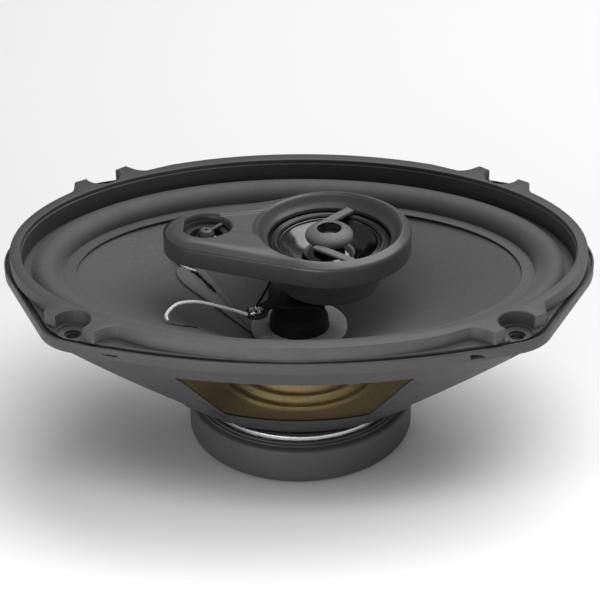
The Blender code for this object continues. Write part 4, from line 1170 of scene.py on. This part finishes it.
LEAD_FRONT = [(-20.0, -18.3, 62.9), (-22.5, -18.0, 63.7), (-26.0, -18.2, 65.0), (-36.3, -20.0, 69.1),
              (-41.7, -22.0, 70.9), (-47.0, -25.0, 71.7), (-50.2, -28.0, 70.6), (-51.4, -30.3, 69.2),
              (-50.8, -31.4, 68.0)]
LEAD_BACK = [(-16.0, 18.8, 63.3), (-21.0, 20.5, 66.0), (-32.0, 23.0, 70.0), (-41.0, 25.2, 71.4),
             (-48.0, 26.4, 70.2), (-51.6, 25.6, 67.6), (-51.0, 23.4, 65.2)]
LEAD_REAR = [(8.0, 45.6, 31.9), (8.0, 45.2, 37.0), (8.6, 43.0, 44.0), (9.0, 38.5, 49.5), (9.0, 34.4, 51.6)]
LEAD_TAIL = [(-51.0, 23.4, 65.2), (-49.9, 22.2, 63.6), (-47.0, 21.0, 61.9), (-43.3, 20.6, 60.6)]
WIRES = {
    "front": [(-16.4, -12.8, 64.1), (-14.2, -8.8, 66.2), (-11.8, -4.8, 69.4), (-10.2, -2.8, 76.0),
              (-9.8, -2.4, 82.7)],
    "back": [(-12.2, 16.0, 64.1), (-10.9, 11.0, 66.0), (-9.8, 6.0, 69.6), (-9.6, 3.0, 76.0), (-9.8, 2.4, 82.7)],
}


def make_leads(braid, insulation):
    """Twisted tinsel leads from the cone, and the insulated wires up into the pod."""
    for label, route in (("front", LEAD_FRONT), ("back", LEAD_BACK)):
        lead, shares = strand_lead(f"tinsel_{label}", route, 1.5, braid, body=None, stands_for=f"cone_lead_{label}",
                                   slot="tinsel_braid")
        follow(lead, ease(shares))
    strand_lead("tinsel_tail", LEAD_TAIL, 1.3, braid, body="cone_assembly", slot="tinsel_braid")
    for label, side in (("front", -1.0), ("back", 1.0)):
        route = [(side * x, y, z) for x, y, z in LEAD_REAR]
        lead, shares = strand_lead(f"tinsel_rear_{label}", route, 1.5, braid, body=None,
                                   stands_for=f"rear_lead_{label}", slot="tinsel_braid")
        follow(lead, ease(shares))
        wire = smooth_route(WIRES[label], 0.5)
        points, faces = tube(wire, 0.5, 12)
        add_mesh(f"wire_{label}", points, faces, insulation, stands_for=f"pod_wire_{label}", slot="wire_insulation",
                 sharp=60.0)


def make_terminals(board, solder):
    """Fibre board with its two spade lugs at the back window."""
    outline = soften([(-15.0, 44.2), (15.0, 44.2), (15.0, 56.0), (-15.0, 56.0)], 1.0)
    plate("lug_board", outline, 28.9, 30.3, board, 0.15, stands_for="terminal_board", slot="fibre_board")
    for label, middle, width in (("wide", -8.0, 6.3), ("narrow", 8.0, 4.8)):
        half = width / 2.0
        outline = soften([(middle - half, 44.6), (middle + half, 44.6), (middle + half, 64.2),
                          (middle + half - 1.2, 66.0), (middle - half + 1.2, 66.0), (middle - half, 64.2)], 0.3)
        lug = plate(f"lug_{label}", outline, 30.6, 31.4, solder, 0.12, stands_for=f"terminal_lug_{label}",
                    slot="tinned_brass")
        carve(lug, [bore(f"lug_hole_{label}", 0.85, solder, middle, 61.5, 20.0, 40.0)])
        drop = [(middle, 44.9, 31.5), (middle, 46.2, 31.8), (middle, 47.4, 31.6)]
        bead(f"lug_solder_{label}", drop, (0.5, 1.1, 0.5), solder, slot="tinned_brass")


def make_glue(cement, tar):
    """Rubber cement over the leads' ends: a leaf-shaped patch at the back and a broken line at the front."""
    leaf = np.array([(-48.7, 21.6), (-51.2, 18.6), (-50.6, 14.8), (-47.4, 11.4), (-42.0, 8.9), (-35.0, 6.6),
                     (-28.0, 4.4), (-20.5, 2.4), (-19.6, 3.8), (-24.5, 9.2), (-30.0, 14.2), (-35.6, 19.2),
                     (-40.6, 23.6), (-44.8, 24.2)])
    edge = smooth_route(np.column_stack([np.vstack([leaf, leaf[:1]]), np.zeros(len(leaf) + 1)]), 0.5)[:-1, :2]
    spine = np.array([(-46.0, 18.0), (-22.0, 3.9)])
    along = spine[1] - spine[0]
    share = np.clip((edge - spine[0]) @ along / (along @ along), 0.0, 1.0)
    middle = spine[0] + share[:, None] * along
    rings = []
    for grow, lift in ((1.0, -0.25), (1.0, 0.12), (0.97, 0.42), (0.9, 0.78), (0.8, 0.86), (0.66, 0.66), (0.45, 0.52),
                       (0.2, 0.5), (0.02, 0.5)):
        rings.append(on_cone(middle + (edge - middle) * grow, lift))
    loft("glue_leaf", rings, cement, closed=False, body="cone_assembly", slot="coated_paper", sharp=70.0)
    runs = (
        ("glue_run_back", [(-45.2, 20.0), (-43.0, 20.0), (-40.3, 18.3), (-37.6, 16.4), (-34.8, 14.4)],
         (0.35, 0.8, 0.55, 0.75, 0.2), 0.8),
        ("glue_line_long", [(-34.6, 14.6), (-28.0, 9.4), (-21.0, 4.6)], (0.12, 0.16, 0.12), 0.55),
        ("glue_run_front", [(-50.8, -31.9), (-48.4, -31.6), (-46.1, -30.8), (-43.6, -28.7), (-41.6, -26.6),
                            (-39.9, -24.8)], (0.8, 0.55, 0.3, 0.6, 0.2, 0.55), 0.12),
    )
    for name, plan, radii, lift in runs:
        bead(name, on_cone(plan, lift), radii, tar, body="cone_assembly", slot="coated_paper")
    seam = on_cone([(-22.5, 27.1), (-22.4, 23.8), (-22.3, 20.4), (-22.2, 17.4)], 0.02)
    bead("cone_seam", seam, (0.10, 0.16, 0.14, 0.08), cement, body="cone_assembly", slot="coated_paper")


# ---------------------------------------------------------------- stage

def make_camera():
    """Camera at about thirty degrees above the front edge."""
    elevation, azimuth, roll = (math.radians(angle) for angle in CAMERA_ANGLES)
    back = Vector((math.sin(azimuth) * math.cos(elevation), -math.cos(azimuth) * math.cos(elevation),
                   math.sin(elevation)))
    level = Vector((math.cos(azimuth), math.sin(azimuth), 0.0))
    rise = back.cross(level)
    right = level * math.cos(roll) + rise * math.sin(roll)
    up = -level * math.sin(roll) + rise * math.cos(roll)
    pose = Matrix(((right.x, up.x, back.x), (right.y, up.y, back.y), (right.z, up.z, back.z))).to_4x4()
    pose.translation = Vector(CAMERA_TARGET) * MM + back * CAMERA_REACH * MM
    data = bpy.data.cameras.new("camera")
    data.sensor_width = 36.0
    data.lens = CAMERA_LENS
    camera = bpy.data.objects.new("camera", data)
    camera.matrix_world = pose
    bpy.context.scene.collection.objects.link(camera)
    bpy.context.scene.camera = camera


def area_light(name, place, aim, size, power):
    """A soft box, with its place, aim and size in metres and its power in watts."""
    data = bpy.data.lights.new(name, "AREA")
    data.shape = "RECTANGLE"
    data.size, data.size_y = size
    data.energy = power
    light = bpy.data.objects.new(name, data)
    light.location = place
    light.rotation_mode = "QUATERNION"
    light.rotation_quaternion = (Vector(aim) - Vector(place)).to_track_quat("-Z", "Y")
    bpy.context.scene.collection.objects.link(light)
    return data


def make_stage():
    """Pale floor, white surroundings and soft boxes above and in front."""
    s = Shader("pale_floor", (0.93, 0.93, 0.93), 0.9)
    s.mottle(400.0, 0.02)
    corners = [(x * FLOOR_HALF, y * FLOOR_HALF, -FLOOR_DROP) for x, y in ((-1, -1), (1, -1), (1, 1), (-1, 1))]
    floor = add_mesh("floor", corners, [(0, 1, 2, 3)], s.mat, body=None)
    world = bpy.data.worlds.new("studio")
    world.use_nodes = True
    world.node_tree.nodes["Background"].inputs["Color"].default_value = (1.0, 1.0, 1.0, 1.0)
    world.node_tree.nodes["Background"].inputs["Strength"].default_value = WORLD_STRENGTH
    bpy.context.scene.world = world
    area_light("overhead_box", (0.35, 0.4, 1.1), (0.0, 0.0, 0.05), (1.5, 1.1), 15.5)
    floor_box = area_light("floor_box", (0.0, -0.42, 0.5), (0.0, -0.42, 0.0), (1.6, 0.5), 4.0)
    floor_box.spread = math.radians(FLOOR_BOX_SPREAD)
    area_light("front_box", (-0.45, -0.85, 0.12), (0.0, 0.0, 0.04), (0.8, 0.22), 3.2)
    bpy.context.scene.view_settings.view_transform = "Standard"


# ---------------------------------------------------------------- assembly

def main():
    """Materials, camera, studio and every piece."""
    paint = painted_steel()
    steel = bare_steel()
    trim = moulded("gasket_plastic", (0.046, 0.046, 0.047), 0.52, 0.5, 0.01)
    pod_skin = moulded("pod_plastic", (0.048, 0.048, 0.049), 0.35, specular=0.65)
    black = moulded("black_plastic", (0.018, 0.018, 0.0185), 0.6, specular=0.3)
    boot = moulded("boot_rubber", (0.050, 0.050, 0.051), 0.55, 0.5, 0.015)
    ball = moulded("ball_plastic", (0.115, 0.115, 0.117), 0.5)
    board = moulded("fibre_board", (0.026, 0.025, 0.025), 0.62, 0.3, 0.03)
    insulation = moulded("wire_insulation", (0.012, 0.012, 0.012), 0.3, 0.8, 0.004)
    rubber = surround_rubber()
    film = polished_film("midrange_mirror", (0.09, 0.09, 0.092), 0.17)
    bright = polished_film("bright_film", (0.72, 0.72, 0.72), 0.1)
    smoky = polished_film("smoky_film", (0.10, 0.10, 0.105), 0.08)
    solder = tinned()
    ceramic = ferrite()
    copper = copper_winding()

    make_camera()
    make_stage()
    make_basket(paint)
    make_slot_shade_plates(black)
    make_gasket(trim)
    make_motor(boot, steel, ceramic)
    make_cone(coated_paper())
    make_surround(rubber)
    make_spider(spider_cloth())
    make_coil(former_film(), copper)
    make_felt(felt())
    make_post(black, board, solder)
    make_pod(pod_skin)
    make_midrange(ball, insulation, film, smoky, ceramic)
    make_ball(ball, bright)
    make_tweeter(pod_skin, black, smoky)
    make_leads(tinsel(), insulation)
    make_terminals(board, solder)
    make_glue(glue("rubber_cement", (0.085, 0.086, 0.088), 0.5), glue("dark_cement", (0.012, 0.012, 0.012), 0.35))


main()
